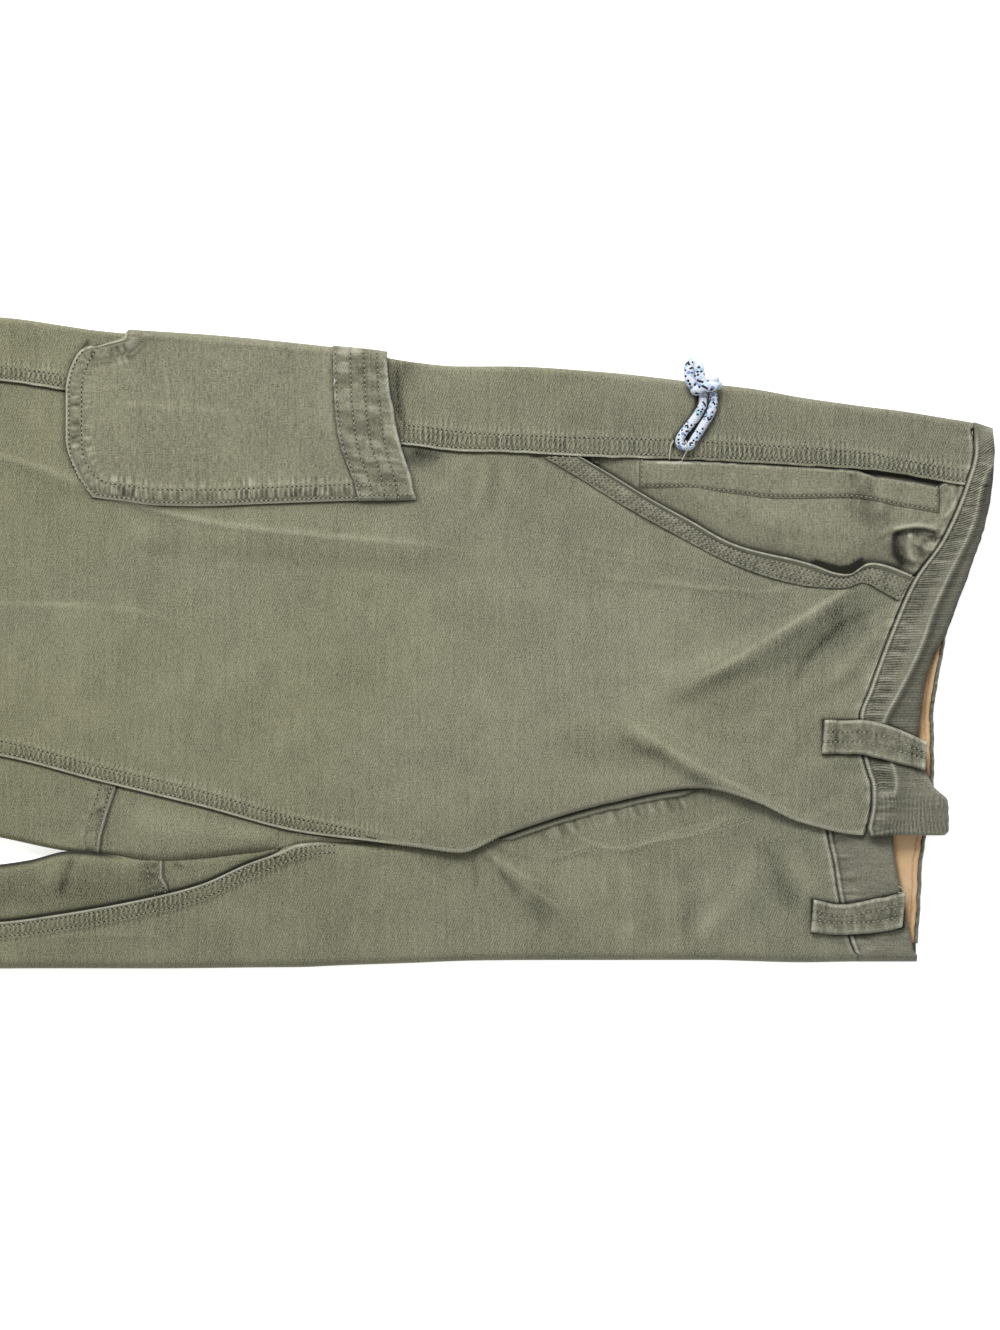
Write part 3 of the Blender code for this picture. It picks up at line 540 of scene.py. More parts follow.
# round braid, bluish white with soft blue patches and short black dashes in pairs
def braidFinish():
    table = NodeTable("braid", 0.75, 0.15)
    along, around, _ = table.add("ShaderNodeSeparateXYZ", {0: table.grain()}).outputs

    # yarns that cross on a slant: one random value for each crossing, and how far it swells
    def crossings(size, seed):
        places = []
        dips = []
        for lean in (1.0, -1.0):
            turn = table.maths("MULTIPLY", around, size[0] * lean)
            place = table.maths("MULTIPLY_ADD", along, 1000.0 / size[1], turn)
            places.append(table.maths("FLOOR", place))
            off = table.maths("SUBTRACT", table.maths("FRACT", place), 0.5)
            dips.append(table.maths("MULTIPLY", off, off))
        cell = table.add("ShaderNodeCombineXYZ", {0: places[0], 1: places[1], 2: seed}).outputs[0]
        picked = table.add("ShaderNodeTexWhiteNoise", {"Vector": cell}).outputs["Value"]
        return picked, table.maths("SUBTRACT", 0.5, table.maths("ADD", dips[0], dips[1]))

    picked, swell = crossings(braid["patch"], 3.0)
    ramp = table.add("ShaderNodeValToRGB", {"Fac": picked})
    ramp.color_ramp.interpolation = "CONSTANT"
    ramp.color_ramp.elements[0].color = braid["white"]
    ramp.color_ramp.elements[1].position = 0.42
    ramp.color_ramp.elements[1].color = braid["pale"]
    for position, tint in ((0.66, "teal"), (0.78, "blue"), (0.86, "white")):
        ramp.color_ramp.elements.new(position).color = braid[tint]
    soft = table.maths("MULTIPLY", table.maths("SUBTRACT", swell, 0.17), 6.0)
    color = table.blend(table.within(soft, 0.9), braid["white"], ramp.outputs[0])
    picked, fine = crossings(braid["dash"], 8.0)
    chosen = table.maths("GREATER_THAN", picked, 0.83)
    dash = table.maths("MULTIPLY", chosen, table.maths("GREATER_THAN", fine, 0.15))
    # painted shade between the crossing yarns
    edge = table.maths("MULTIPLY", table.maths("SUBTRACT", 0.2, fine), 2.0)
    color = table.blend(table.within(edge, 0.4), color, braid["between"])
    return table.finished(table.blend(dash, color, braid["black"]), table.bump(fine, 0.7, 0.0007))


def threadFinish(name, color, dark):
    table = NodeTable(name, 0.85, 0.1)
    fine = table.noise(table.place(), (1800.0, 1800.0, 1800.0))
    return table.finished(table.blend(fine, dark, color), table.bump(fine, 0.5, 0.0002))


def zipFinish():
    table = NodeTable("zipTape", 0.8, 0.1)
    rows = table.wave(table.scaled(table.place(), (380.0, 40.0, 40.0)), 0.3)
    color = table.blend(rows, (0.012, 0.012, 0.010, 1.0), (0.05, 0.05, 0.04, 1.0))
    return table.finished(color, table.bump(rows, 0.6, 0.0004))


def brassFinish():
    table = NodeTable("brass", 0.38)
    table.shader.inputs["Metallic"].default_value = 1.0
    tarnish = table.noise(table.place(), (500.0, 500.0, 500.0), 3.0)
    color = table.blend(tarnish, (0.46, 0.33, 0.15, 1.0), (0.20, 0.13, 0.06, 1.0))
    return table.finished(color, table.bump(tarnish, 0.2, 0.0002))


def floorFinish():
    table = NodeTable("paleFloor", 0.9)
    fine = table.noise(table.place(), (3.0, 3.0, 3.0))
    whole = light["floor"]
    dim = whole * 0.985
    color = table.blend(fine, (whole, whole, whole, 1.0), (dim, dim, dim, 1.0))
    table.tree.links.new(color, table.shader.inputs["Base Color"])
    table.shader.inputs["Emission Color"].default_value = (1.0, 1.0, 1.0, 1.0)
    table.shader.inputs["Emission Strength"].default_value = light["floorGlow"]
    return table.material


def makeFloor():
    half = 9.0
    corners = [(-half, -half, 0.0), (half, -half, 0.0), (half, half, 0.0), (-half, half, 0.0)]
    floor = meshPiece("floor", [(x, y, z - 0.0002) for x, y, z in corners], [(0, 1, 2, 3)], floorFinish())


finishes = {
    "leg": canvasFinish("canvasLeg", twill=0.28),
    "pocket": canvasFinish(
        "canvasPocket", color=(0.196, 0.192, 0.135, 1.0), warm=(0.194, 0.189, 0.122, 1.0),
        twill=0.03, streak=1.2, speckle=1.2,
    ),
    "seam": canvasFinish("canvasSeam", color=(0.176, 0.174, 0.124, 1.0), warm=(0.178, 0.172, 0.108, 1.0)),
    "band": canvasFinish(
        "canvasBand", color=(0.166, 0.163, 0.121, 1.0), warm=(0.168, 0.164, 0.117, 1.0),
        ribPitch=1.5, twill=0.03,
    ),
    "lining": liningFinish(),
    "braid": braidFinish(),
    "thread": threadFinish("oliveThread", (0.39, 0.38, 0.3, 1.0), (0.22, 0.215, 0.16, 1.0)),
    # dark dots of painted shade for the needle holes
    "hole": threadFinish("needleHoleShade", (0.028, 0.028, 0.019, 1.0), (0.012, 0.012, 0.008, 1.0)),
    "liningThread": threadFinish("tanThread", (0.62, 0.42, 0.22, 1.0), (0.32, 0.19, 0.09, 1.0)),
    "whisker": threadFinish("looseThread", (0.5, 0.5, 0.42, 1.0), (0.3, 0.3, 0.24, 1.0)),
    "zip": zipFinish(),
    "brass": brassFinish(),
}
makeFloor()
bpy.context.scene.view_settings.view_transform = "Standard"
print("finishes and floor ready")

# the cut: tables along the garment, the same lines that the pattern was drafted on

# x, upper fold, side seam, front edge, height at the side seam, height at the front edge
rightRows = [
    (-576, 172.0, 142.0, -22.0, 7.0, 7.0),
    (-466, 176.0, 144.5, -26.0, 7.2, 7.2),
    (-356, 179.5, 146.5, -31.0, 7.4, 7.4),
    (-246, 181.5, 148.0, -37.0, 7.6, 7.6),
    (-136, 182.2, 148.5, -44.5, 7.6, 7.6),
    (-53, 181.0, 146.5, -53.5, 7.6, 7.6),
    (29, 177.0, 141.5, -65.0, 7.6, 7.6),
    (84, 169.4, 133.0, -79.0, 7.8, 7.7),
    (139, 164.5, 124.5, -92.5, 7.8, 7.8),
    (194, 159.5, 115.5, -106.8, 7.8, 8.6),
    (235, 155.5, 109.0, -112.0, 7.8, 10.6),
    (258, 152.0, 105.6, -115.0, 7.8, 13.2),
    (282, 150.0, 102.8, -118.0, 7.8, 14.2),
    (306, 150.0, 102.2, -108.5, 7.8, 14.4),
    (359, 147.0, 99.6, -92.0, 7.8, 14.4),
    (414, 141.0, 98.0, -82.5, 7.8, 14.4),
    (444, 137.5, 96.4, -90.0, 7.8, 14.2),
    (469, 133.0, 95.0, -101.3, 7.8, 13.8),
    (504, 128.0, 92.8, -108.3, 7.8, 13.4),
    (524, 125.5, 90.4, -108.3, 7.8, 13.4),
    (552, 121.0, 85.2, -108.3, 7.8, 13.4),
    (564, 119.0, 83.6, -108.3, 7.8, 13.4),
    (576, 115.0, 82.0, -108.3, 7.8, 13.4),
]
rightLow = [
    (-576, -59.0), (-356, -67.0), (-136, -83.5), (-53, -95.0), (29, -110.0), (66, -117.4), (93, -119.9),
    (117, -123.8), (140, -121.6), (160, -119.0), (178, -117.4), (194, -114.6),
]
# x, upper fold of the leg, inseam, straight lower fold, height
leftRows = [
    (-576, -117.0, -148.0, -178.0, 10.0),
    (-411, -123.0, -152.0, -180.0, 10.2),
    (-191, -132.0, -158.0, -181.5, 10.4),
    (-53, -132.0, -160.0, -182.0, 10.5),
    (29, -124.5, -156.1, -182.0, 10.5),
    (66, -120.0, -151.2, -182.0, 10.5),
    (112, -123.6, -142.6, -182.0, 10.4),
    (139, -122.8, -135.6, -181.8, 10.2),
    (166, -119.6, -123.8, -181.5, 10.0),
    (182, -118.2, -118.2, -181.4, 9.9),
    (194, -117.0, -113.4, -181.3, 9.8),
    (214, -112.0, -112.0, -180.5, 9.6),
    (260, -112.5, -112.5, -179.0, 9.7),
    (272, -110.0, -110.0, -178.5, 9.8),
    (290, -102.0, -102.0, -178.0, 10.0),
    (359, -78.0, -78.0, -177.5, 10.2),
    (414, -69.0, -69.0, -177.5, 10.4),
    (469, -87.0, -87.0, -178.5, 10.4),
    (504, -95.0, -95.0, -178.0, 10.3),
    (540, -96.0, -96.0, -178.0, 10.2),
]
underSeam = [(190, -118.0), (235, -114.0), (272, -78.0), (306, -62.0), (504, -60.0)]
# y, seam and top of the left front band, top and seam of the back band
waistRows = [
    (-178, 501.0, 533.5, 534.0, 499.0),
    (-163, 495.5, 529.5, 534.5, 499.0),
    (-143, 490.5, 525.5, 536.0, 500.0),
    (-122, 487.0, 521.5, 537.0, 501.0),
    (-108, 484.0, 520.0, 539.0, 502.0),
    (-82, 482.0, 518.0, 543.0, 506.0),
    (-44, 482.0, 518.0, 543.5, 507.0),
    (-9, 482.0, 518.0, 548.5, 512.0),
    (31, 482.0, 518.0, 556.0, 522.0),
    (70, 482.0, 518.0, 568.0, 541.0),
    (108, 482.0, 518.0, 573.0, 561.0),
]
# y, seam and top edge of the right front band
bandRows = [
    (-108, 504.0, 550.0),
    (-100, 506.5, 550.2),
    (-90, 508.0, 550.0),
    (-82, 508.0, 542.8),
    (-73, 505.5, 538.5),
    (-58, 502.0, 534.0),
    (-44, 501.5, 535.0),
    (-28, 507.0, 537.0),
    (-9, 514.0, 543.0),
    (5, 519.5, 551.0),
    (31, 531.0, 560.5),
    (55, 547.5, 569.0),
    (84, 560.0, 575.0),
    (104, 565.0, 576.0),
    (118, 563.0, 573.0),
]
scoopEdge = [
    (348, 100.0), (368, 88.5), (388, 76.0), (411, 64.0), (423, 56.6), (435, 51.0), (450, 47.0),
    (467, 43.5), (480, 39.5), (496, 35.0), (501, 37.8), (507, 41.6), (517, 40.6), (531, 34.5),
]
sideStripWidth = [
    (-576, 7.5), (29, 7.5), (65, 8.2), (248, 10.4), (267, 11.2), (306, 9.6), (370, 10.5), (445, 9.9),
    (499, 9.3), (530, 7.8), (562, 8.2),
]


def right(column, x):
    return smoothLine(rightRows, x, ("x", "top", "seam", "front", "side", "height").index(column))


def left(column, x):
    return smoothLine(leftRows, x, ("x", "inner", "seam", "fold", "height").index(column))


def rightHeight(x, y):
    front = right("front", x)
    across = (y - front) / ((right("seam", x) - front) * 0.75)
    return mix(right("height", x), right("side", x), eased(unit(across)))


# folds and creases of the upper cloth, each a line of points with a width and a rise
# a last value is how many times wider the crease is on its left; the wide folds come first

wideFolds = [
    ([(478, 4), (404, -26)], 14, 2.6),
    ([(466, -26), (430, -46)], 12, -0.7),
    ([(392, -58), (346, -52)], 18, 1.6),
    ([(110, 56), (255, 45)], 12, 1.2),
    ([(-70, 40), (-180, -20)], 24, 1.6),
    ([(-250, 110), (-340, 20)], 26, 1.4),
    ([(-430, 60), (-380, -20)], 22, 1.2),
]
rightCreases = [
    ([(20, 103), (29, 100.2), (47, 95.8), (65, 88.6), (77, 82.6), (107, 72.1), (136, 64.4), (166, 60),
      (216, 55.1), (267, 51.2)], 1.7, 0.8, 1.6),
    ([(29, 100), (77, 82), (136, 64), (216, 55), (300, 47)], 9.0, 0.9, 1.5),
    ([(506, 33), (483, 16), (456, 3), (430, -12), (403, -25)], 6.0, 1.3, 1.4),
    ([(523, 23), (497, 9.4), (480, -6), (467, -22.5)], 7.5, -1.9),
    ([(516, 6), (500, -10), (487, -32)], 6.0, 1.1),
    ([(505, -20), (490, -30), (470, -42)], 5.0, -0.8),
    ([(378, -52), (392, -61), (405, -69), (424, -80), (447, -91), (471, -102)], 3.2, 2.0, 4.5),
    ([(297, 100), (293, 84), (288, 64)], 3.4, 0.75),
    ([(304, 100), (309, 86), (318, 70)], 3.2, 0.55),
    ([(286, 101), (278, 88), (266, 78)], 3.6, 0.5),
    ([(301, 100), (300, 84), (302, 66)], 2.6, -0.7),
    ([(312, 100), (324, 88), (334, 80)], 3.0, -0.45),
    ([(330, 56), (352, 50), (371, 47), (392, 42), (418, 38), (447, 27)], 1.5, 0.32),
    ([(341, 47), (366, 42), (388, 41), (410, 33)], 1.6, 0.26),
    ([(462, 25), (440, 12), (420, 6)], 4.0, 0.5),
    ([(487, 24), (470, 14), (452, 8)], 2.5, -0.5),
    ([(260, -105), (300, -92), (340, -72), (372, -60)], 9.0, 0.7, 1.4),
    ([(205, -100), (240, -80), (275, -66)], 8.0, -0.5),
    ([(150, -85), (188, -62), (220, -45)], 9.0, 0.45),
    ([(60, -55), (105, -40), (150, -34)], 10.0, 0.4),
    ([(352, 20), (395, 8), (430, -2)], 10.0, 0.45),
    ([(40, 10), (120, 4), (210, 8)], 14.0, 0.4),
    ([(262, 86), (256, 66), (254, 50)], 5.0, 0.4),
    ([(500, -62), (478, -70), (458, -82)], 4.5, 0.8, 1.4),
    ([(497, -84), (480, -90), (466, -99)], 4.0, -0.8),
    ([(-60, 90), (-200, 70), (-330, 78)], 14.0, 1.2),
    ([(-300, -10), (-420, 12), (-540, 4)], 13.0, 1.0),
    ([(-120, -40), (-210, -60)], 10.0, 0.8),
]
backCreases = [
    ([(262, 148), (268, 128), (274, 116)], 4.0, 0.5),
    ([(426, 140), (424, 122), (428, 108)], 4.0, 0.35),
    ([(392, 143), (388, 120), (384, 110)], 5.0, -0.35),
    ([(540, 122), (530, 108), (520, 102)], 4.0, 0.6),
    ([(556, 118), (548, 104), (542, 96)], 3.5, -0.6),
    ([(330, 148), (338, 128), (342, 116)], 6.0, 0.3),
    ([(478, 131), (470, 116), (466, 108)], 5.0, 0.35),
]
leftCreases = [
    ([(286, -114), (299, -123), (311, -130.8), (332, -144), (345, -157.2)], 3.0, 1.0, 2.2),
    ([(300, -128), (324, -146), (338, -164)], 5.0, -0.7),
    ([(353.5, -120), (356, -142), (359, -163)], 4.0, 0.6),
    ([(365, -122), (368, -142), (375, -163)], 4.5, -0.45),
    ([(414, -112), (418, -140), (420, -170)], 6.0, 0.5),
    ([(447, -118), (455, -145), (464, -176)], 5.0, 0.7, 1.3),
    ([(462, -116), (470, -140), (476, -168)], 5.0, -0.6),
    ([(243, -116), (262, -128), (282, -150)], 5.0, 0.5),
    ([(29, -168.2), (73, -162.7), (118, -164.4)], 2.0, 0.45, 1.5),
    ([(130, -158), (180, -150), (236, -146)], 8.0, 0.4),
    ([(330, -124), (346, -121), (360, -121)], 2.5, -0.5),
    ([(-90, -168), (-260, -164)], 7.0, 0.7),
    ([(-300, -158), (-480, -166)], 7.0, 0.7),
]


def raised(x, y, creases, seed):
    total = np.zeros(np.shape(x))
    for number, (points, width, rise, *wider) in enumerate(creases):
        spread = wider[0] if wider else 1.0
        line = softened(points, 2)
        near = nearby(x, y, line, width * max(spread, 1.0) * 2.6)
        if not near.any():
            continue
        distance, along, side, run = nearLine(x[near], y[near], line)
        uneven = 0.8 + 0.35 * waves(along / 17.0, number * 3.7, seed)
        sway = 0.35 * width * waves(along / 11.0, number * 5.1, seed + 1)
        distance = np.abs(distance * side + sway)
        taper = span(-0.02, 0.18, 0.78, 1.02, along / run)
        reachHere = np.where(side > 0, width * spread, width)
        total[near] += rise * uneven * (0.15 + 0.85 * taper) * bell(distance, reachHere)
    return total


def folded(x, y):
    total = np.zeros(np.shape(x))
    for points, width, rise in wideFolds:
        distance, _, _, _ = nearLine(x, y, points)
        total += rise * fall(0, width, distance)
    return total


# the cloth never lies quite flat
def restless(x, y, seed=3):
    return (
        0.32 * waves(x / 46.0, y / 38.0, seed)
        + 0.16 * waves(x / 19.0, y / 23.0, seed + 1)
        + 0.07 * waves(x / 7.5, y / 9.0, seed + 2)
    )


# a felled seam: a folded edge at away 0, two rows of stitches, and puckered cloth between and beyond them
fell = {"lift": 0.95, "groove": 0.42, "pucker": 0.42, "firstRow": 2.1, "ribs": 4.6}


def felled(along, away, width, seed, puckered=0.35):
    body = step(-1.0, 0.4, away) * fall(width + 0.3, width + 3.2, away)
    rows = bell(away - fell["firstRow"], 0.6) + bell(away - width, 0.7)
    slant = along + away * 0.08
    beat = slant / fell["ribs"] + 0.9 * waves(slant / 10.0, seed, seed)
    ribs = puckered * (0.5 * np.sin(2 * np.pi * beat) + 0.7 * waves(slant / 1.7, away / 4.0, seed + 1))
    strength = 0.5 + 0.75 * unit(waves(along / 14.0, 0.5, seed + 2) + 0.3)
    between = step(2.2, 3.4, away) * fall(width - 1.6, width - 0.5, away)
    beyond = step(width + 0.4, width + 1.6, away) * fall(width + 2.6, width + 7.5, away)
    rise = fell["lift"] * body - fell["groove"] * rows
    rise += fell["pucker"] * ribs * strength * (between + 0.75 * beyond)
    # pale: the rubbed folded edge, with painted highlights on the pucker crests
    edge = bell(away - 0.6, 0.75)
    paleTint = 0.95 * edge * (0.8 + 0.35 * waves(along / 5.0, 1.5, seed + 3))
    paleTint += unit(ribs) * strength * (0.5 * between + 0.6 * beyond)
    # painted shade in the stitch grooves and pucker troughs
    shadow = 0.2 * rows + 0.6 * unit(-ribs) * strength * (between + 0.3 * beyond)
    shadow += 0.06 * between + 0.25 * bell(away - 1.5, 0.5)
    return rise, paleTint, shadow, (between + 0.45 * beyond) * strength * 1.5


# the cloth below dips beside a folded edge that lies on it, with painted shade along the edge
def beside(distance, dip=0.5, dark=0.75):
    return -dip * bell(distance, 1.6), dark * bell(distance, 1.15) + 0.22 * bell(distance, 3.0)


# paler and darker places, partly the cloth's own uneven colour and partly painted light and shade: x, y,
# radius along x, radius along y, change
toneAndShadingSpots = [
    (215, 20, 150, 60, 0.05),
    (330, -20, 110, 50, 0.04),
    (90, -25, 110, 50, 0.02),
    (430, 118, 180, 18, -0.07),
    (330, 125, 70, 18, -0.04),
    (450, 18, 45, 22, -0.07),
    (500, 12, 26, 26, -0.12),
    (505, -60, 30, 30, -0.04),
    (395, -130, 120, 40, -0.03),
    (250, -150, 110, 30, -0.02),
    (330, -150, 30, 20, -0.06),
    (110, -165, 100, 20, -0.03),
    (60, -95, 60, 20, -0.05),
    (60, -139, 70, 10, -0.36),
    (86, -106, 7, 16, -0.12),
    (110, -131, 6, 10, -0.2),
    (250, 149, 8, 6, -0.16),
    (262, 98, 11, 6, -0.2),
    (501, 80, 8, 11, -0.28),
    (510, 66, 9, 7, -0.24),
    (372, -76, 34, 10, 0.14),
    (375, -133, 45, 14, 0.12),
    (330, -150, 90, 18, 0.04),
    (150, -122, 50, 9, -0.12),
    (250, -60, 190, 50, 0.03),
    (282, 74, 34, 20, -0.05),
    (45, 120, 40, 30, -0.02),
    (425, -92, 30, 16, -0.06),
    (392, -20, 44, 26, 0.05),
    (300, -125, 30, 14, 0.05),
    (251, 147, 9, 9, -0.12),
    (257, 98.5, 10, 6, -0.2),
    (178, 100, 70, 26, 0.02),
    (548, -2, 10, 60, -0.06),
    (400, -150, 26, 26, 0.03),
    (470, -150, 20, 20, 0.04),
    (445, 62, 36, 10, 0.06),
    (48, 164, 32, 10, -0.07),
]


# painted highlights and painted shade along creases, folds and edges: points, width, change
paintedLightLines = [
    ([(512, 38), (503, 33), (475.5, 14.4), (452, 0.4), (429, -13.6), (408, -24)], 1.5, 0.46),
    ([(480, 24), (452, 8), (429, -4), (404, -16)], 7.0, 0.07),
    ([(507, 27), (475.5, 8), (452, -7), (428, -21), (400, -36)], 3.6, -0.34),
    ([(500, 14), (470, -6), (440, -24), (405, -44)], 8.0, -0.12),
    ([(516, 20), (503, 13), (491, 6.6), (475.5, -7.4), (466, -20), (461, -32)], 2.4, -0.4),
    ([(512, 14), (494, 2), (478, -14), (468, -30)], 6.5, -0.14),
    ([(520, 10), (506, -3), (493, -16), (483, -30)], 3.6, 0.18),
    ([(474, -50), (466, -62), (456, -75)], 5.5, -0.18),
    ([(366, -41), (381, -51), (415, -71.5), (448, -88), (478, -101)], 1.5, 0.42),
    ([(366, -52), (385, -62), (403, -73.5), (418, -82), (432, -86.5)], 3.6, -0.4),
    ([(352, -44), (370, -58), (395, -76)], 8.0, -0.08),
    ([(420, -84.3), (430, -88), (439, -89.6)], 1.3, 0.2),
    ([(452, -88.5), (463, -89.2), (474, -89.6)], 1.5, 0.12),
    ([(356, 35.3), (378, 32.2), (398, 30.6), (422.7, 27.6), (446, 25.4), (460, 26.8), (475.5, 31.4)],
     1.3, 0.34),
    ([(356, 33), (398, 28.4), (422.7, 25.4), (460, 24.4)], 1.6, -0.12),
    ([(-10, 21), (29, 19.1), (66, 19), (98.8, 16.8), (128, 9.6)], 1.4, 0.34),
    ([(0, 109), (29, 101.3), (38, 98.2), (52, 93.6), (66, 87.3), (80, 80)], 1.4, 0.42),
    ([(20, 99), (38, 94), (54, 88), (70, 78)], 2.6, -0.16),
    ([(245.6, 151), (247.6, 138), (250, 122), (253, 106)], 3.0, -0.55),
    ([(254.5, 103.5), (262, 101.5), (273, 100.5)], 3.0, -0.5),
    ([(513, -70.5), (519.9, -73), (522.4, -80), (521, -88), (520, -95)], 1.2, 0.5),
    ([(526, -71), (527.4, -80), (525.4, -90)], 1.9, -0.4),
    ([(530, -68), (534.6, -76), (533, -84)], 1.6, -0.35),
    ([(536, -72), (538.6, -79), (538, -87)], 1.3, 0.25),
    ([(92, 78), (107, 73), (136, 65.5), (166, 61), (216, 56), (267, 52), (300, 45)], 1.2, 0.22),
    ([(135, 59), (166, 55), (216, 50), (267, 45), (310, 36)], 7.0, -0.1),
    ([(135, 72), (216, 63), (267, 58)], 7.0, 0.06),
    ([(76, 132), (118, 128), (161, 123)], 1.3, 0.18),
    ([(119.2, 150), (119.6, 145), (120.6, 138), (122.6, 127), (124, 120)], 1.0, 0.42),
    ([(122, 131), (136, 128.6), (152, 125.6), (168, 122.4)], 1.2, 0.14),
    ([(117.2, 148), (118.0, 140), (120.0, 128)], 1.2, -0.16),
    ([(122.0, 148), (123.0, 138), (125.0, 128)], 1.2, -0.12),
    ([(497, 91), (498.4, 86)], 1.6, -0.26),
    ([(506.6, 90), (508.4, 85), (509, 80)], 1.5, -0.4),
    ([(503, 91), (503.6, 85), (503, 78)], 1.6, 0.22),
    ([(513, 88), (514, 82), (517, 76)], 2.0, 0.16),
    ([(508, 84), (500, 74), (501, 68), (507, 63)], 4.0, -0.26),
    ([(511, 70), (515, 66), (517, 61)], 3.0, -0.2),
    ([(530, 75), (528.6, 67), (526.6, 61)], 2.4, 0.2),
    ([(437, 75), (440, 67), (444, 60)], 3.0, -0.16),
    ([(520.4, 57), (522, 51), (522.6, 45.7), (526.6, 40.3)], 2.2, -0.7),
    ([(524.5, 52), (524.6, 47), (527, 43)], 2.4, -0.55),
    ([(521, 58.6), (529.7, 62.4), (540.6, 61.6), (549.9, 64.3)], 1.2, 0.5),
    ([(523.6, 56.8), (531.3, 59.2), (542.1, 57.6), (548.3, 60.0)], 1.7, -0.7),
    ([(537.6, 55.6), (541.3, 54.4), (545.4, 53.4)], 2.0, -0.6),
    ([(530.4, 55.4), (528.6, 49), (528.8, 44.5), (531.3, 40.8)], 1.7, 0.42),
    ([(534, 54), (536, 50.4), (540, 47)], 1.8, 0.3),
    ([(534.6, 52.6), (536.6, 48), (539.4, 44.4)], 1.1, -0.45),
    ([(529.6, 38.4), (533, 38.8), (537.4, 40.4)], 1.1, 0.4),
    ([(546.6, 68), (549.2, 74), (550.4, 82.6)], 0.9, 0.5),
    ([(545.8, 83.4), (546.4, 77), (546.0, 70.6)], 1.0, -0.5),
    ([(548, 65.8), (552.2, 69.6), (555, 75), (556.6, 81)], 1.1, 0.55),
    ([(550.4, 70.6), (552.6, 75), (554, 81)], 1.4, -0.5),
    ([(378.8, 98), (379, 90), (380, 83)], 0.9, -0.3),
    ([(376.6, 97), (377, 90), (378, 84)], 0.9, 0.25),
    ([(361, 95), (368, 92), (377, 84)], 1.2, 0.16),
    ([(422.8, 77), (431, 70), (441.3, 62)], 4.0, -0.12),
    ([(297, 99), (293, 84), (288, 66)], 2.6, 0.16),
    ([(301.5, 99), (300, 84), (300, 66)], 2.2, -0.18),
    ([(304.5, 99), (309, 86), (318, 70)], 2.2, 0.12),
    ([(312, 98), (322, 88), (332, 80)], 2.6, -0.12),
    ([(286, 100), (279, 88), (266, 78)], 2.8, 0.1),
    ([(343, -105.5), (353.5, -112.8), (371.6, -116.6), (392.6, -110), (415, -107), (427.3, -99.4),
      (440, -96.3)],
     1.0, 0.42),
    ([(343, -107.8), (353.5, -115.2), (371.6, -118.8), (392.6, -112.2), (415, -109.2), (430, -101)],
     1.3, -0.16),
    ([(353.5, -113), (345, -116.5), (336, -119), (326, -119.5)], 1.2, 0.26),
    ([(380, -114.5), (396, -106.5), (414, -103.4), (428, -97.5)], 1.1, 0.24),
    ([(371.6, -121), (372, -133), (373, -150), (375, -172)], 3.6, 0.26),
    ([(357, -122), (360, -138), (366, -156), (368, -172)], 4.0, 0.1),
    ([(364, -124), (367, -142), (370, -160)], 3.4, -0.14),
    ([(384, -124), (388, -146), (392, -168)], 5.0, -0.28),
    ([(398, -150), (400, -160), (402, -174)], 5.0, 0.08),
    ([(412, -166), (424, -150), (436, -136), (446, -124)], 5.0, 0.28),
    ([(404, -122), (410, -136), (408, -154), (402, -166)], 6.0, -0.38),
    ([(421, -124), (420, -134), (418, -142)], 5.0, 0.08),
    ([(447, -108), (452, -120), (458, -134), (468, -152)], 6.0, -0.36),
    ([(462, -112), (470, -126), (478, -142)], 4.5, 0.18),
    ([(438, -140), (446, -152), (452, -168)], 5.0, -0.1),
    ([(330, -132), (326, -146), (330, -168)], 5.0, -0.12),
    ([(345, -128), (348, -144), (350, -166)], 4.0, 0.12),
    ([(299, -121), (311, -130.8), (332, -145), (345, -158)], 2.0, 0.26),
    ([(303, -132), (322, -147), (335, -163)], 4.5, -0.16),
    ([(29, -167.5), (73, -162.2), (118, -163.6)], 1.4, 0.16),
    ([(243, -114), (262, -126), (284, -150)], 3.5, 0.08),
    ([(291, -117), (299, -122.5), (309, -134), (316, -146)], 1.8, -0.34),
    ([(296, -117), (306, -124), (318, -131), (331, -136)], 1.4, 0.3),
    ([(299, -114), (311, -119), (324, -122.5)], 1.5, -0.26),
    ([(288, -119), (291, -130), (290, -142)], 2.2, -0.2),
    ([(318, -127), (329, -138), (336, -152)], 3.2, -0.2),
    ([(70, -119), (66, -130), (60, -141)], 2.4, -0.45),
    ([(56, -124), (54, -134), (52, -142)], 3.0, 0.16),
    ([(125, -122.6), (128, -125.4), (130, -127.4)], 1.6, -0.6),
    ([(90, -100), (93, -96), (96, -90), (98, -84)], 1.2, 0.2),
]


# the cloth's own uneven colour, with the painted light and shade of the spots and lines above
def toneAndShadingAt(x, y):
    total = 0.05 * waves(x / 11.0, y / 8.0, 205) + 0.035 * waves(x / 4.5, y / 6.0, 206)
    for cx, cy, rx, ry, change in toneAndShadingSpots:
        total += change * np.exp(-(((x - cx) / rx) ** 2) - ((y - cy) / ry) ** 2)
    for number, (points, width, change) in enumerate(paintedLightLines):
        line = softened(points, 2)
        near = nearby(x, y, line, width * 3)
        if not near.any():
            continue
        distance, along, side, run = nearLine(x[near], y[near], line)
        sway = 0.4 * width * waves(along / 9.0, number * 2.3, 201)
        taper = span(-0.05, 0.2, 0.75, 1.05, along / run)
        uneven = 0.75 + 0.4 * waves(along / 13.0, number * 4.1, 202)
        total[near] += change * taper * uneven * bell(distance * side + sway, width)
    return total


# stations along the legs, close together where the cloth is fine

stations = {
    "hem": -550.0, "fineFrom": 20.0, "coarse": 9.0, "fine": 1.0, "bendFrom": 430.0, "waist": 565.0,
    "closeBy": 8.0, "firstGuess": 540.0, "crotch": 178,
}


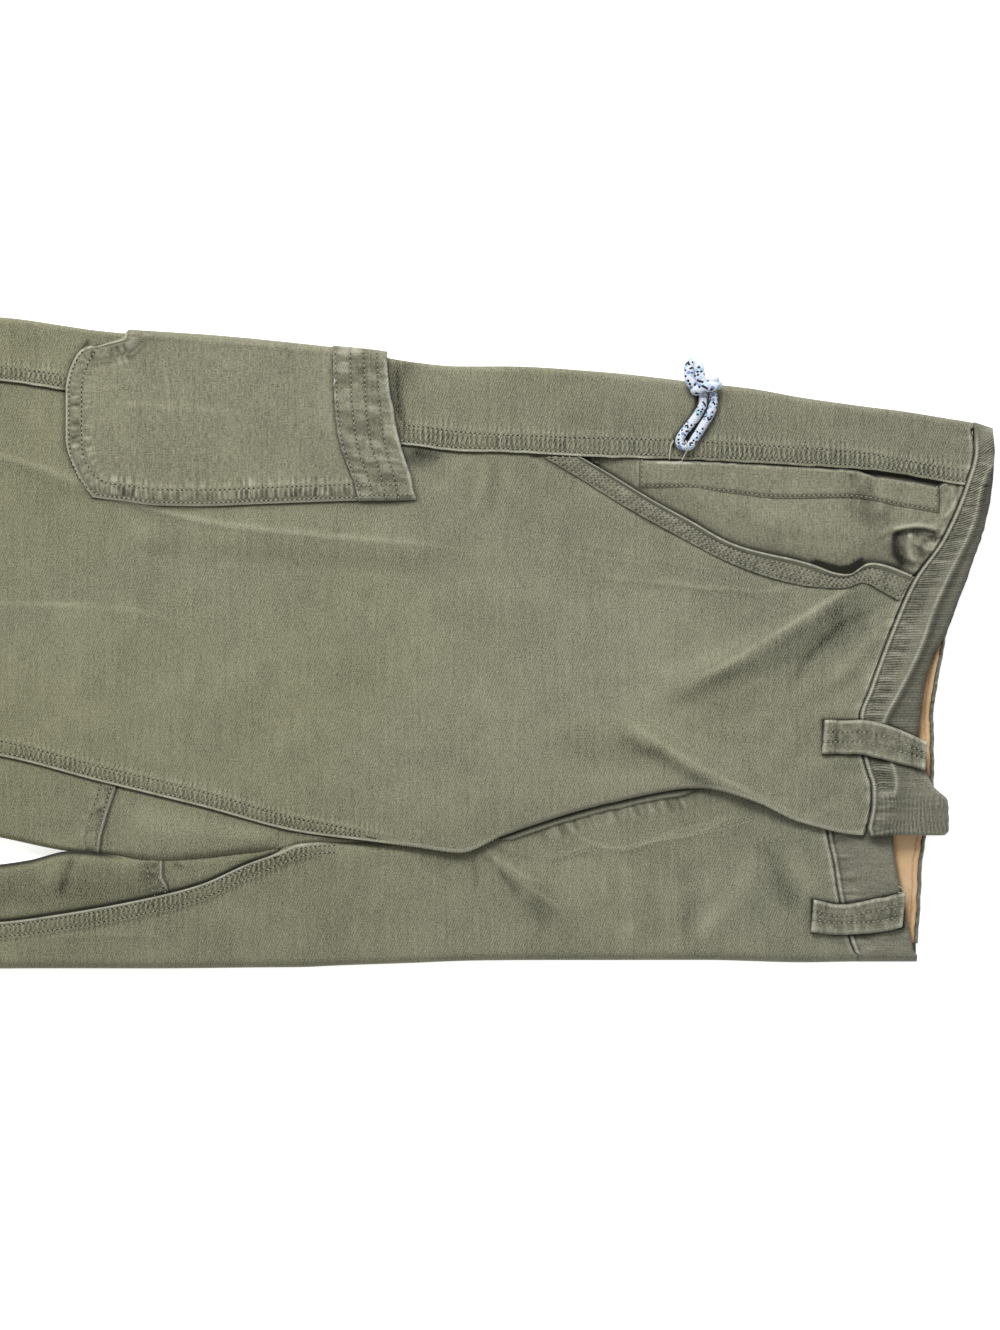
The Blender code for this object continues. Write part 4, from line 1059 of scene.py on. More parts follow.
def alongLeg(first, last, fine=None):
    fine = fine or stations["fine"]
    middle = stations["fineFrom"]
    parts = []
    if first < middle:
        end = min(last, middle)
        parts.append(np.linspace(first, end, max(int((end - first) / stations["coarse"]), 2)))
    if last > middle:
        begin = max(first, middle)
        close = last - stations["closeBy"] if last >= stations["waist"] else last
        parts.append(np.linspace(begin, close, max(int((close - begin) / fine), 2)))
        if close < last:
            parts.append(np.linspace(close, last, 18))
    whole = np.concatenate(parts)
    return whole[np.concatenate([[True], np.diff(whole) > 1e-6])]


# bends straight stations so that the last one meets the slanted waist seam
def toWaist(x, end):
    share = unit((x - stations["bendFrom"]) / (stations["waist"] - stations["bendFrom"]))
    return np.where(x <= stations["bendFrom"], x, mix(stations["bendFrom"], end, share))


# half-round edge: points from the top face over the fold to the underside, side 1 for an upper fold
def foldPoints(edge, low, high, side, count):
    radius = (high - low) / 2
    turn = np.pi * (0.5 - np.arange(1, count) / count)
    if side < 0:
        turn = turn[::-1]
    y = edge[:, None] - side * radius[:, None] + side * radius[:, None] * np.cos(turn)
    z = low[:, None] + radius[:, None] + radius[:, None] * np.sin(turn)
    return y, z


print("cut and folds ready")

# panels


# columns across a panel: near steps from its low edge, then even shares, then far steps to its high edge
def acrossPlan(near, count, far):
    low = [1.0] * len(near)
    high = [0.0] * len(near)
    offset = list(near)
    for share in np.linspace(0.0, 1.0, count + 2)[1:-1]:
        low.append(1 - share)
        high.append(share)
        offset.append(near[-1] * (1 - share) - far[0] * share)
    low += [0.0] * len(far)
    high += [1.0] * len(far)
    offset += [-f for f in far]
    return np.array(low), np.array(high), np.array(offset)


def acrossAt(plan, low, high):
    return plan[0] * low + plan[1] * high + plan[2]


# x of every point, so that each column ends at the waist seam that endAt gives for its y
def meetWaist(x0, plan, lowAt, highAt, endAt):
    ends = np.full(len(plan[0]), stations["firstGuess"])
    for _ in range(6):
        ends = endAt(acrossAt(plan, lowAt(ends), highAt(ends)))
    return toWaist(x0[:, None], ends[None, :]), ends


# a flat patch of cloth from lowAt(x) to highAt(x)
def flatPatch(x0, plan, lowAt, highAt, endAt=None):
    if endAt is None:
        x = np.repeat(x0[:, None], len(plan[0]), 1)
        return x, acrossAt(plan, lowAt(x), highAt(x)), None
    x, ends = meetWaist(x0, plan, lowAt, highAt, endAt)
    return x, acrossAt(plan, lowAt(x), highAt(x)), ends


# where the panels meet the waistband's seam
def bandSeam(y):
    return smoothLine(bandRows, y) + 0.15


# columns close to an edge, by their distance from it
edgeSteps = [
    0.0, 0.35, 0.8, 1.3, 1.9, 2.6, 3.4, 4.2, 5.0, 5.8, 6.6, 7.4, 8.2, 9.0, 9.9, 10.8, 11.8, 13.0, 14.6, 16.6,
]
farSteps = [4.5, 3.0, 1.9, 1.1, 0.5, 0.0]


pocketLowLine = [
    (64, 100.0), (66, 92.0), (72, 84.0), (80, 77.6), (96, 75.4), (115, 73.0), (139, 72.6), (172, 73.8),
    (216, 75.4), (258, 76.3),
]


def pocketLow(x):
    return smoothLine(pocketLowLine, x)


def scoopAt(x):
    return smoothLine(scoopEdge, x)


scoopLowLine = [
    (322, 100), (326, 99.6), (350, 87), (370, 74.5), (385, 64.5), (399, 57.8), (417, 48.5), (429, 42.5),
    (442, 36.5), (456, 32), (470, 29.2), (483, 27.6), (497, 27.6), (504, 31), (513, 26), (523, 20.5),
]
pocketOutline = [
    (77, 163), (69, 152.4), (65, 137.6), (65, 106.2), (69, 95.8), (80, 77.6), (96, 75.4), (115, 72.1),
    (136, 72.1), (172, 73.8), (216, 75.4), (240, 74.9), (258, 76.3), (255, 87), (250, 103.5),
    (245, 124), (242, 146), (241, 156),
]


loopRightRows = [
    (481.5, -45.0, -63.5), (492, -45.0, -63.6), (502, -45.0, -64.0), (519, -48.7, -67.6),
    (528, -52.5, -70.0), (538, -57.0, -72.5),
]
loopLeftRows = [
    (475.5, -143.5, -161.3), (490, -146.2, -163.0), (508, -143.5, -162.5), (526, -139.6, -159.0),
]


# painted shade on the cloth round the edge of a belt loop
def underLoop(x, y, rows):
    outline = [(row[0], row[1]) for row in rows] + [(row[0], row[2]) for row in reversed(rows)]
    outline.append(outline[0])
    distance = nearLine(x, y, outline)[0]
    return 0.75 * bell(distance, 0.95) + 0.22 * bell(distance, 2.6)


# wrinkles where a panel runs into the waist seam, by its distance from the seam, with a pale rolled ridge,
# painted highlights on the pucker crests and painted shadow in the seam and pucker troughs
def waistPucker(toSeam, y, seed):
    ribs = waves(y / 2.3, toSeam / 14.0, seed)
    fade = np.exp(-np.maximum(toSeam, 0) / 5.5)
    rise = -0.8 * bell(toSeam, 0.7) + 0.4 * bell(toSeam - 2.6, 1.5) + 0.32 * ribs * fade
    paleTint = 0.5 * bell(toSeam - 1.7, 0.9) + 0.4 * unit(ribs) * fade
    shadow = 0.85 * bell(toSeam, 0.6) + 0.3 * unit(-ribs) * fade
    return rise, paleTint, shadow


rightFrontCut = {
    "wall": 1.1, "across": 162, "fine": 1.75,
    "inseam": [(-576, 8.2), (140, 8.2), (206, 6.6), (240, 3.6)],
    # stations between which each of these fades in or out
    "inseamEnd": (232, 252), "fly": (236, 256, 500, 506), "slit": (300, 318, 405, 425),
    "flatBelow": (290, 312), "flatAbove": (408, 424), "sideEnd": (336, 350), "scoopFrom": (340, 352),
}


def makeRightFront():
    cut = rightFrontCut
    x0 = alongLeg(stations["hem"], stations["waist"], cut["fine"])
    plan = acrossPlan(edgeSteps, cut["across"], farSteps)

    def lowAt(x):
        return right("front", x)

    def highAt(x):
        return mix(right("seam", x) + 1.5, scoopAt(x) - 0.8, step(*cut["scoopFrom"], x))

    x, y, ends = flatPatch(x0, plan, lowAt, highAt, bandSeam)
    away = y - lowAt(x)
    toSeam = ends[None, :] - x
    z = rightHeight(x, y) + folded(x, y) + raised(x, y, rightCreases, 11) + restless(x, y)
    width = smoothLine(cut["inseam"], x)
    leg = fall(*cut["inseamEnd"], x)
    rise, paleTint, dark, ribs = felled(x, away, width, 21)
    z += rise * leg
    paleTint = paleTint * leg
    dark = dark * leg
    # the fly's folded edge
    fly = span(*cut["fly"], x)
    slit = span(*cut["slit"], x)
    flat = fall(*cut["flatBelow"], x) + step(*cut["flatAbove"], x)
    z -= fly * mix(mix(1.3, 0.6, flat), 2.4, slit) * bell(away, 1.2)
    paleTint = paleTint + fly * (0.5 + 0.12 * flat) * bell(away - 1.4, 0.8)
    # painted shade beside the side seam's folded edge, the scoop band and the pocket
    dip, shadow = beside(right("seam", x) - y, 0.6, 0.45)
    overSide = fall(*cut["sideEnd"], x)
    z += dip * overSide
    dark = dark + shadow * overSide
    distance = nearLine(x, y, scoopLowLine)[0]
    dark = dark + (0.5 + 0.2 * waves(x / 3.0, y / 3.0, 5)) * bell(distance, 1.2)
    z -= 0.5 * bell(distance, 1.6)
    distance = nearLine(x, y, pocketOutline)[0]
    dark = dark + 0.5 * bell(distance, 1.3) + 0.2 * bell(distance, 3.0)
    rise, paleMarks, shadow = waistPucker(toSeam, y, 31)
    z += rise
    paleTint = paleTint + paleMarks
    dark = dark + shadow
    # painted shadow below the side seam by the pocket's corner
    dark = dark + 0.5 * np.exp(-(((x - 259) / 9) ** 2) - ((y - 99.5) / 4.2) ** 2)
    dark = dark + underLoop(x, y, loopRightRows)
    # painted highlight along the crest of the long crease
    crease = raised(x, y, rightCreases[:1], 11)
    paleTint = paleTint + 0.22 * unit(crease)
    sew("rightFront", ["right_front"], (x, y, z), cut["wall"], "leg", paleTint, dark, ribs * leg, toneAndShadingAt(x, y))


rightBackCut = {
    "wall": 1.1, "top": 15, "fold": 14, "under": 15, "endFold": 564.7, "underPocket": (60, 68, 244, 252),
    "slot": (380, 390, 548, 556), "joint": 304,
}
# painted shadow of the cord on the cloth: a line, its width and its depth
cordShadows = [
    ([(412.6, 134.0), (412.2, 128.5), (409.4, 122.6), (405.4, 117.6), (401.6, 113.0), (399.4, 108.8),
      (400.0, 104.6)], 1.1, 0.85),
    ([(411.6, 118.4), (408.0, 112.6), (406.4, 108.6)], 1.6, 0.95),
    ([(424.4, 132.0), (424.2, 126.5), (421.4, 120.5), (418.0, 115.0), (414.0, 109.0)], 1.4, 0.3),
    ([(408.0, 139.4), (409.4, 134.8), (413.0, 133.0)], 1.3, 0.7),
]


# how far the cloth at the inseams reaches under each leg
underWidth = 12.0


def cargoLift(x, y):
    return 2.2 * span(56, 63, 259, 266, x) * step(66, 78, y)


def underEnd(x):
    leg = smoothLine(rightLow, np.minimum(x, stations["crotch"])) + underWidth
    return mix(leg, smoothLine(underSeam, x) + 0.35, step(178, 212, x))


def makeRightBack():
    cut = rightBackCut
    x0 = alongLeg(stations["hem"], stations["waist"])
    plan = acrossPlan(edgeSteps, cut["top"], [0.0])

    def lowAt(x):
        return right("seam", x) + 0.25 * waves(x / 6.0, 2.0, 8)

    def highAt(x):
        return right("top", x) - right("side", x) / 2

    x, y, _ = flatPatch(x0, plan, lowAt, highAt, bandSeam)
    away = y - lowAt(x)
    z = right("side", x) + restless(x, y, 5) + raised(x, y, backCreases, 13)
    width = smoothLine(sideStripWidth, x)
    underPocket = span(*cut["underPocket"], x)
    rise, paleTint, dark, ribs = felled(x, away, width, 41)
    shown = 1 - 0.75 * underPocket
    slot = span(*cut["slot"], x)
    paleTint = paleTint - 0.72 * slot * bell(away - 0.6, 0.75)
    z += rise * shown
    z -= 0.4 * underPocket
    # the cross joint of the strip
    acrossStrip = step(0.5, 1.5, away) * fall(width, width + 2.5, away)
    joint = bell(x - cut["joint"], 1.4) * acrossStrip
    # painted shade beside the joint
    dark = dark * shown + 0.45 * bell(x - cut["joint"] + 2, 0.8) * acrossStrip
    z += 0.7 * joint
    paleTint = np.maximum(paleTint * shown + 0.3 * joint, 0.0)
    # painted shade beside the pocket and the cord
    distance = nearLine(x, y, pocketOutline)[0]
    dark = dark + 0.5 * bell(distance, 1.4) + 0.22 * bell(distance, 3.4)
    for line, reach, depth in cordShadows:
        dark = dark + depth * bell(nearLine(x, y, line)[0], reach)
    toSeam = (stations["waist"] - x0)[:, None] + 0 * x
    rise, paleMarks, shadow = waistPucker(toSeam, y, 33)
    z += rise
    paleTint = paleTint + paleMarks
    dark = dark + shadow

    foldX = toWaist(x0, cut["endFold"])
    lift = cargoLift(foldX, 150.0)
    height = right("side", foldX)
    foldY, foldZ = foldPoints(right("top", foldX), lift, height, 1, cut["fold"])
    foldX = np.repeat(foldX[:, None], foldY.shape[1], 1)
    upright = unit((foldZ - height[:, None] / 2) / (height[:, None] / 2))
    foldZ = foldZ + upright * (restless(foldX, foldY, 5) + raised(foldX, foldY, backCreases, 13))
    # painted shade beside the pocket on the fold
    distance = nearLine(foldX, foldY, pocketOutline)[0]
    foldDark = 0.5 * bell(distance, 1.4) * upright

    lines = np.linspace(0, 1, cut["under"])
    yAim = mix(140.0, -60.0, lines)
    under = toWaist(x0[:, None], smoothLine(waistRows, yAim, 4)[None, :] - 0.8)
    startY = right("top", under) - right("side", under) / 2
    underY = mix(startY, underEnd(under), lines[None, :])
    underZ = cargoLift(under, underY)

    x, y, z = welded((x, y, z), (foldX, foldY, foldZ), (under, underY, underZ))
    none = 0 * foldY
    rest = 0 * underY
    paleTint, dark, ribs = welded((paleTint, dark, ribs * shown), (none, foldDark, none), (rest, rest, rest))
    toneAndShading = toneAndShadingAt(x, y) * (z > 2.0)
    sew("rightBack", ["right_back"], (x, y, z), cut["wall"], "leg", paleTint, dark, ribs, toneAndShading)


innerCut = {
    "wall": 1.1, "fold": 14, "under": 4, "reach": 11.6, "fine": 0.9, "strip": 8.0,
    "tipFrom": 180.0, "tipTo": 236.0,
}


# cloth from an inseam over a leg's fold to its underside, for the lower fold (side -1) or the upper (side 1)
def legWrap(name, node, x0, half, seamed):
    cut = innerCut
    side = innerHalves[half]["side"]
    seed = innerHalves[half]["seed"]
    seam = innerHalves[half]["seam"](x0)
    edge = innerHalves[half]["edge"](x0)
    base = innerHalves[half]["height"](x0)
    # the right leg's gusset lies over the left leg
    height = base + (3.6 * span(90, 104, 168, 182, x0) if side < 0 else 0.0)
    radius = height / 2
    flat = np.concatenate([[0.0, 0.04, 0.07, 0.1, 0.13, 0.17, 0.22, 0.28], np.linspace(0.34, 1.0, 12)])
    if side > 0:
        topY = mix(seam[:, None] - 1.6, (edge - radius)[:, None], flat[None, :])
    else:
        topY = mix(seam[:, None] + 1.6, (edge + radius)[:, None], flat[None, :])[:, ::-1]
    topX = np.repeat(x0[:, None], topY.shape[1], 1)
    toEdge = (topY - seam[:, None]) / (edge - seam)[:, None]
    topZ = mix(base[:, None], height[:, None], step(0.15, 0.6, toEdge)) + 0.6 * restless(topX, topY, seed)
    foldY, foldZ = foldPoints(edge, np.zeros_like(height), height, side, cut["fold"])
    lines = np.linspace(0, 1, cut["under"])
    underY = mix((edge - side * radius)[:, None], (edge - side * cut["reach"])[:, None], lines[None, :])
    underZ = np.zeros_like(underY)
    if side > 0:
        parts = [(topY, topZ), (foldY, foldZ), (underY, underZ)]
    else:
        parts = [(underY[:, ::-1], underZ), (foldY, foldZ), (topY, topZ)]
    y, z = welded(*parts)
    x = np.repeat(x0[:, None], y.shape[1], 1)
    upper = z > height[:, None] * 0.55
    past = side * (y - innerHalves[half]["seam"](x))
    # painted shade beside the seam, and on the left leg along its upper fold where it turns away
    if side > 0:
        dip, dark = beside(np.abs(past - 0.7), 0.6, 1.0)
        outline = fall(84, 100, x)
        dark = dark + outline * bell(y - edge[:, None] + 0.6, 1.5)
    else:
        dip, dark = beside(np.abs(past), 0.6, 0.5)
    z = z + dip * upper
    paleTint = np.zeros_like(z)
    if seamed:
        distance, along, bank, _ = nearLine(x, y, gussetSeams[half])
        away = -distance * bank
        rise, pale, shadow, _ = felled(along, away, cut["strip"], seed + 4, 1.1)
        near = bell(distance, 14.0) * upper
        z = z + 0.7 * rise * near
        paleTint = paleTint + pale * near
        # painted shade in the gusset seam and beside its edge
        dark = dark + (1.5 * shadow + 0.85 * bell(away + 0.8, 0.9)) * near
    sew(name, [node], (x, y, z), cut["wall"], "leg", paleTint * upper, dark * upper, 0.0, toneAndShadingAt(x, y) * upper)


tipEdge = [(176, -118.6), (184, -117.3), (193, -114.4), (214, -112.4), (236, -112.0)]
gussetSeams = {
    "right": [(93, -80), (88, -95), (84, -109), (82.5, -122)],
    "left": [(118, -118), (118, -131.4), (121, -137), (124, -142)],
}


# each half's fold: side, lines along the leg and seed
innerHalves = {
    "right": {
        "side": -1, "seed": 51, "seam": lambda x: right("front", x),
        "edge": lambda x: smoothLine(rightLow, x), "height": lambda x: right("height", x),
    },
    "left": {
        "side": 1, "seed": 61, "seam": lambda x: left("seam", x),
        "edge": lambda x: left("inner", x) + 2.8 * step(44, 68, x), "height": lambda x: left("height", x),
    },
}


def makeInnerLegs():
    fine = innerCut["fine"]
    for name, node, half, first, last, seamed in (
        ("rightBackInner", "right_back_inner", "right", stations["hem"], 88.0, True),
        ("gussetRight", "gusset_right", "right", 88.0, 182.0, True),
        ("leftBackInner", "left_back_inner", "left", stations["hem"], 122.0, True),
        ("gussetLeft", "gusset_left", "left", 122.0, 182.0, False),
    ):
        whole = first == stations["hem"]
        x0 = alongLeg(first, last, fine) if whole else np.linspace(first, last, int((last - first) / fine))
        legWrap(name, node, x0, half, seamed)
    # the last of the gusset narrows to a point between the two leg seams
    x0 = np.linspace(innerCut["tipFrom"], innerCut["tipTo"], 60)
    plan = acrossPlan([0.0, 0.35, 0.8, 1.4, 2.1, 3.0], 5, [0.0])
    x, y, _ = flatPatch(x0, plan, lambda x: smoothLine(tipEdge, x), lambda x: right("front", x) + 2.4)
    away = y - smoothLine(tipEdge, x)
    z = right("height", x) + 0.9 * step(182, 196, x) - 2.6 * fall(-0.3, 2.6, away) - 0.5
    dip, dark = beside(np.abs(y - right("front", x)), 0.3, 0.85)
    paleTint = 0.2 * bell(away - 1.0, 0.8)
    sew("gussetTip", [], (x, y, z + dip), innerCut["wall"], "leg", paleTint, dark, 0.0, toneAndShadingAt(x, y))


leftFrontCut = {
    "wall": 1.1, "across": 76, "fine": 1.2, "fold": 12, "under": 8,
    "strip": [(-576, 8.2), (140, 8.0), (206, 6.0)], "inseamEnd": (196, 216), "freeFrom": (192, 204),
    "lap": 2.2, "lapped": (176, 190, 238, 256), "flap": (322, 334, 404, 422),
    "flapDepth": (2.5, 4.5, 10.0, 13.5),
}


def leftUnderEnd(x):
    leg = left("inner", np.minimum(x, stations["crotch"])) - underWidth
    return mix(leg, smoothLine(underSeam, x) - 0.35, step(178, 226, x))


def makeLeftFront():
    cut = leftFrontCut
    x0 = alongLeg(stations["hem"], stations["waist"], cut["fine"])
    plan = acrossPlan([0.0, 2.0], cut["across"], edgeSteps[::-1])

    def lowAt(x):
        return left("fold", x) + left("height", x) / 2

    def highAt(x):
        return left("seam", x) + cut["lap"] * span(*cut["lapped"], x)

    def endAt(y):
        return smoothLine(waistRows, y, 1) + 0.15

    x, y, ends = flatPatch(x0, plan, lowAt, highAt, endAt)
    away = left("seam", x) - y
    z = left("height", x) + 0.8 * restless(x, y, 15) + raised(x, y, leftCreases, 17)
    z -= cut["lap"] * span(*cut["lapped"], x) * fall(-1.0, 3.0, away)
    width = smoothLine(cut["strip"], x)
    leg = fall(*cut["inseamEnd"], x)
    rise, paleTint, dark, ribs = felled(x, away, width, 71)
    z += rise * leg
    paleTint = paleTint * leg
    dark = dark * leg
    z -= 1.5 * step(200, 216, x) * bell(away, 4.0)
    # painted shade beside the right front's edge, fainter where the edge lies free
    dip, shadow = beside(y - right("front", x), 0.6, 0.9)
    lower = np.where(y < right("front", x), 1.0, 0.6) * step(*cut["freeFrom"], x)
    lower = lower * (1 - 0.5 * (span(222, 240, 290, 312, x) + step(408, 424, x)))
    z += dip * lower
    free = span(225, 240, 300, 318, x) + step(405, 425, x)
    dark = dark + shadow * lower * (1 - 0.72 * free)
    under = right("front", x) - y
    flap = span(*cut["flap"], x) * span(*cut["flapDepth"], under)
    # painted highlights and shade on the ridges of the fly's flap
    lines = waves((x + 0.5 * y) / 1.9, under / 9.0, 73)
    paleTint = paleTint + 0.5 * unit(lines) * flap
    dark = dark + 0.4 * unit(-lines) * flap
    z += 0.3 * lines * flap
    # painted soft shadow of the front that hangs over
    over = step(215, 300, x) * bell(np.minimum(y - right("front", x), 0), 9.0)
    dark = dark + 0.22 * over * (1 - 0.6 * step(408, 424, x))
    rise, paleMarks, shadow = waistPucker(ends[None, :] - x, y, 35)
    z += rise
    paleTint = paleTint + paleMarks
    dark = dark + shadow + underLoop(x, y, loopLeftRows)

    foldX = toWaist(x0, 501.0 - 0.3)
    height = left("height", foldX)
    foldY, foldZ = foldPoints(left("fold", foldX), np.zeros_like(height), height, -1, cut["fold"])
    foldX = np.repeat(foldX[:, None], foldY.shape[1], 1)
    upright = unit((foldZ - height[:, None] / 2) / (height[:, None] / 2))
    foldZ = foldZ + upright * (0.8 * restless(foldX, foldY, 15) + raised(foldX, foldY, leftCreases, 17))
    foldY = foldY + 0.5 * waves(foldX / 60.0, 0.4, 19)
    lines = np.linspace(1, 0, cut["under"])
    under = toWaist(x0[:, None], np.full((1, cut["under"]), 500.7))
    startY = left("fold", under) + left("height", under) / 2
    underY = mix(startY, leftUnderEnd(under), lines[None, :])
    none = 0 * foldY
    rest = 0 * underY
    x, y, z = welded((under, underY, rest), (foldX, foldY, foldZ), (x, y, z))
    paleTint, dark, ribs = welded((rest, rest, rest), (none, none, none), (paleTint, dark, ribs * leg))
    toneAndShading = toneAndShadingAt(x, y) * (z > 2.0)
    sew("leftFront", ["left_front"], (x, y, z), cut["wall"], "leg", paleTint, dark, ribs, toneAndShading)


makeRightFront()
makeRightBack()
makeInnerLegs()
makeLeftFront()
print("legs ready")

# thigh pocket

pocketCut = {
    "wall": 1.1, "rise": 2.1, "strip": 8.8, "fine": 0.8, "across": 92, "fold": 12, "proud": 2.3,
    "lowEdge": 76.0,
}
pocketStartRows = [
    (72, 84.0), (77, 80.5), (84, 74.5), (92, 70.0), (99, 66.8), (106, 65.0), (137, 65.0), (146, 66.6),
    (153, 69.3), (158.5, 73.0), (161.5, 78.0), (163.5, 87.0), (165.5, 98.0),
]
pocketEndRows = [
    (74, 258.5), (87, 255.0), (103.5, 250.0), (124, 245.0), (145, 242.3), (155, 241.0), (166, 240.0),
]
pocketBandStart = [(74, 226.5), (84, 224.0), (108, 215.5), (127, 213.0), (158, 212.0), (166, 212.0)]


def pocketTop(x, y):
    return rightHeight(x, y) + pocketCut["rise"]


def onPocket(share, y, first=pocketStartRows):
    return mix(smoothLine(first, y), smoothLine(pocketEndRows, y), share)


# the pocket's ends slant, so x and y are found from each other in a few rounds
def pocketGrid(share, plan, xAt, below=0.0):
    low = pocketCut["lowEdge"]
    y = np.tile(low + np.linspace(0, 80, len(plan[0])), (len(share), 1))
    for _ in range(4):
        x = xAt(share[:, None], y)
        high = right("top", x) + pocketCut["proud"] - (right("side", x) + pocketCut["rise"]) / 2
        y = acrossAt(plan, pocketLow(x) - below, high)
    return x, y


def makeCargoPocket():
    cut = pocketCut
    ends = np.array([0.0, 0.35, 0.8, 1.4, 2.1]) / 180.0
    middle = np.linspace(2.9 / 180, 1 - 2.9 / 180, int(178 / cut["fine"]))
    share = np.concatenate([ends, middle, 1 - ends[::-1]])
    plan = acrossPlan(edgeSteps, cut["across"], [0.0])
    x, y = pocketGrid(share, plan, onPocket)
    z = pocketTop(x, y)
    border = [(float(a), float(b)) for a, b in zip(x[0, ::-3], y[0, ::-3])]
    border += [(float(a), float(b)) for a, b in zip(x[3::4, 0], y[3::4, 0])]
    distance, along, _, _ = nearLine(x, y, border)
    rise, paleTint, dark, ribs = felled(along, distance, cut["strip"], 81, 1.0)
    ribs = ribs * step(64, 78, x - 0.6 * (y - cut["lowEdge"])) * (y < 100)
    drop = cut["rise"] - 0.45
    z += -drop * fall(-0.2, 1.5, distance) + rise - fell["lift"] * step(-0.2, 0.8, distance)
    z += 0.35 * bell(distance - 5.0, 3.0)
    z += 0.55 * restless(x * 1.3, y, 25) + 0.35 * step(12, 30, distance)
    crease, creaseAlong, _, run = nearLine(x, y, [(118, 150), (120, 140), (122.5, 126)])
    z += 0.3 * bell(crease, 1.0) * fall(0.6, 1.0, creaseAlong / run)
    # painted highlights and shade on the puckers between the border's rows
    patch = waves(along / 2.6, distance / 5.0, 84) + 0.5 * waves(along / 1.3, distance / 3.0, 85)
    patch = patch * span(2.4, 3.4, 7.4, 8.4, distance)
    paleTint = paleTint + 0.3 * unit(patch)
    dark = dark + 0.3 * unit(-patch)
    # painted shade beside the pocket's band, and paler patches near it
    toBand = x - smoothLine(pocketBandStart, y)
    dark = dark + 0.55 * bell(toBand, 1.1)
    paleTint = paleTint + 0.2 * unit(waves(x / 2.5, y / 13.0, 83)) * bell(toBand + 4, 3.5)

    radius = (right("side", x[:, -1]) + cut["rise"]) / 2
    foldY, foldZ = foldPoints(y[:, -1] + radius, 0 * radius, radius * 2, 1, cut["fold"])
    foldX = onPocket(share[:, None], np.full(foldY.shape, 165.5))
    blendX = np.linspace(0, 1, cut["fold"] - 1)[None, :]
    foldX = mix(x[:, -1:], foldX, step(0, 0.5, blendX))
    upright = unit(foldZ / radius[:, None] - 1)
    foldZ = foldZ + upright * 0.5 * restless(foldX * 1.3, foldY, 25)
    toEnd = foldX - foldX[:1]
    rise, pale, shadow, _ = felled(foldY, toEnd, cut["strip"], 81, 1.0)
    pull = (cut["rise"] - 0.45) * fall(-0.2, 1.5, toEnd)
    foldY = foldY - pull * (1 - upright)
    foldZ = foldZ - pull * upright
    under = np.linspace(0, 1, 6)
    underX = np.repeat(foldX[:, -1:], 6, 1)
    underY = mix(y[:, -1:] - 0.5, np.full((len(share), 1), 84.0), under[None, :])
    rest = 0 * underY
    x, y, z = welded((x, y, z), (foldX, foldY, foldZ), (underX, underY, rest))
    onFold = (pale * upright, shadow * upright, 0 * foldY)
    paleTint, dark, ribs = welded((paleTint, dark, ribs), onFold, (rest, rest, rest))
    sew("cargoPocket", ["cargo_pocket"], (x, y, z), cut["wall"], "pocket", paleTint, dark, ribs, toneAndShadingAt(x, y))


# rows of the pocket's band: share of its width at the bottom and at the top
bandCut = {
    "wall": 0.9, "rise": 1.3, "toneAndShading": -0.03,
    "rows": ((0.05, 0.05), (0.26, 0.33), (0.48, 0.58), (0.69, 0.83)),
}


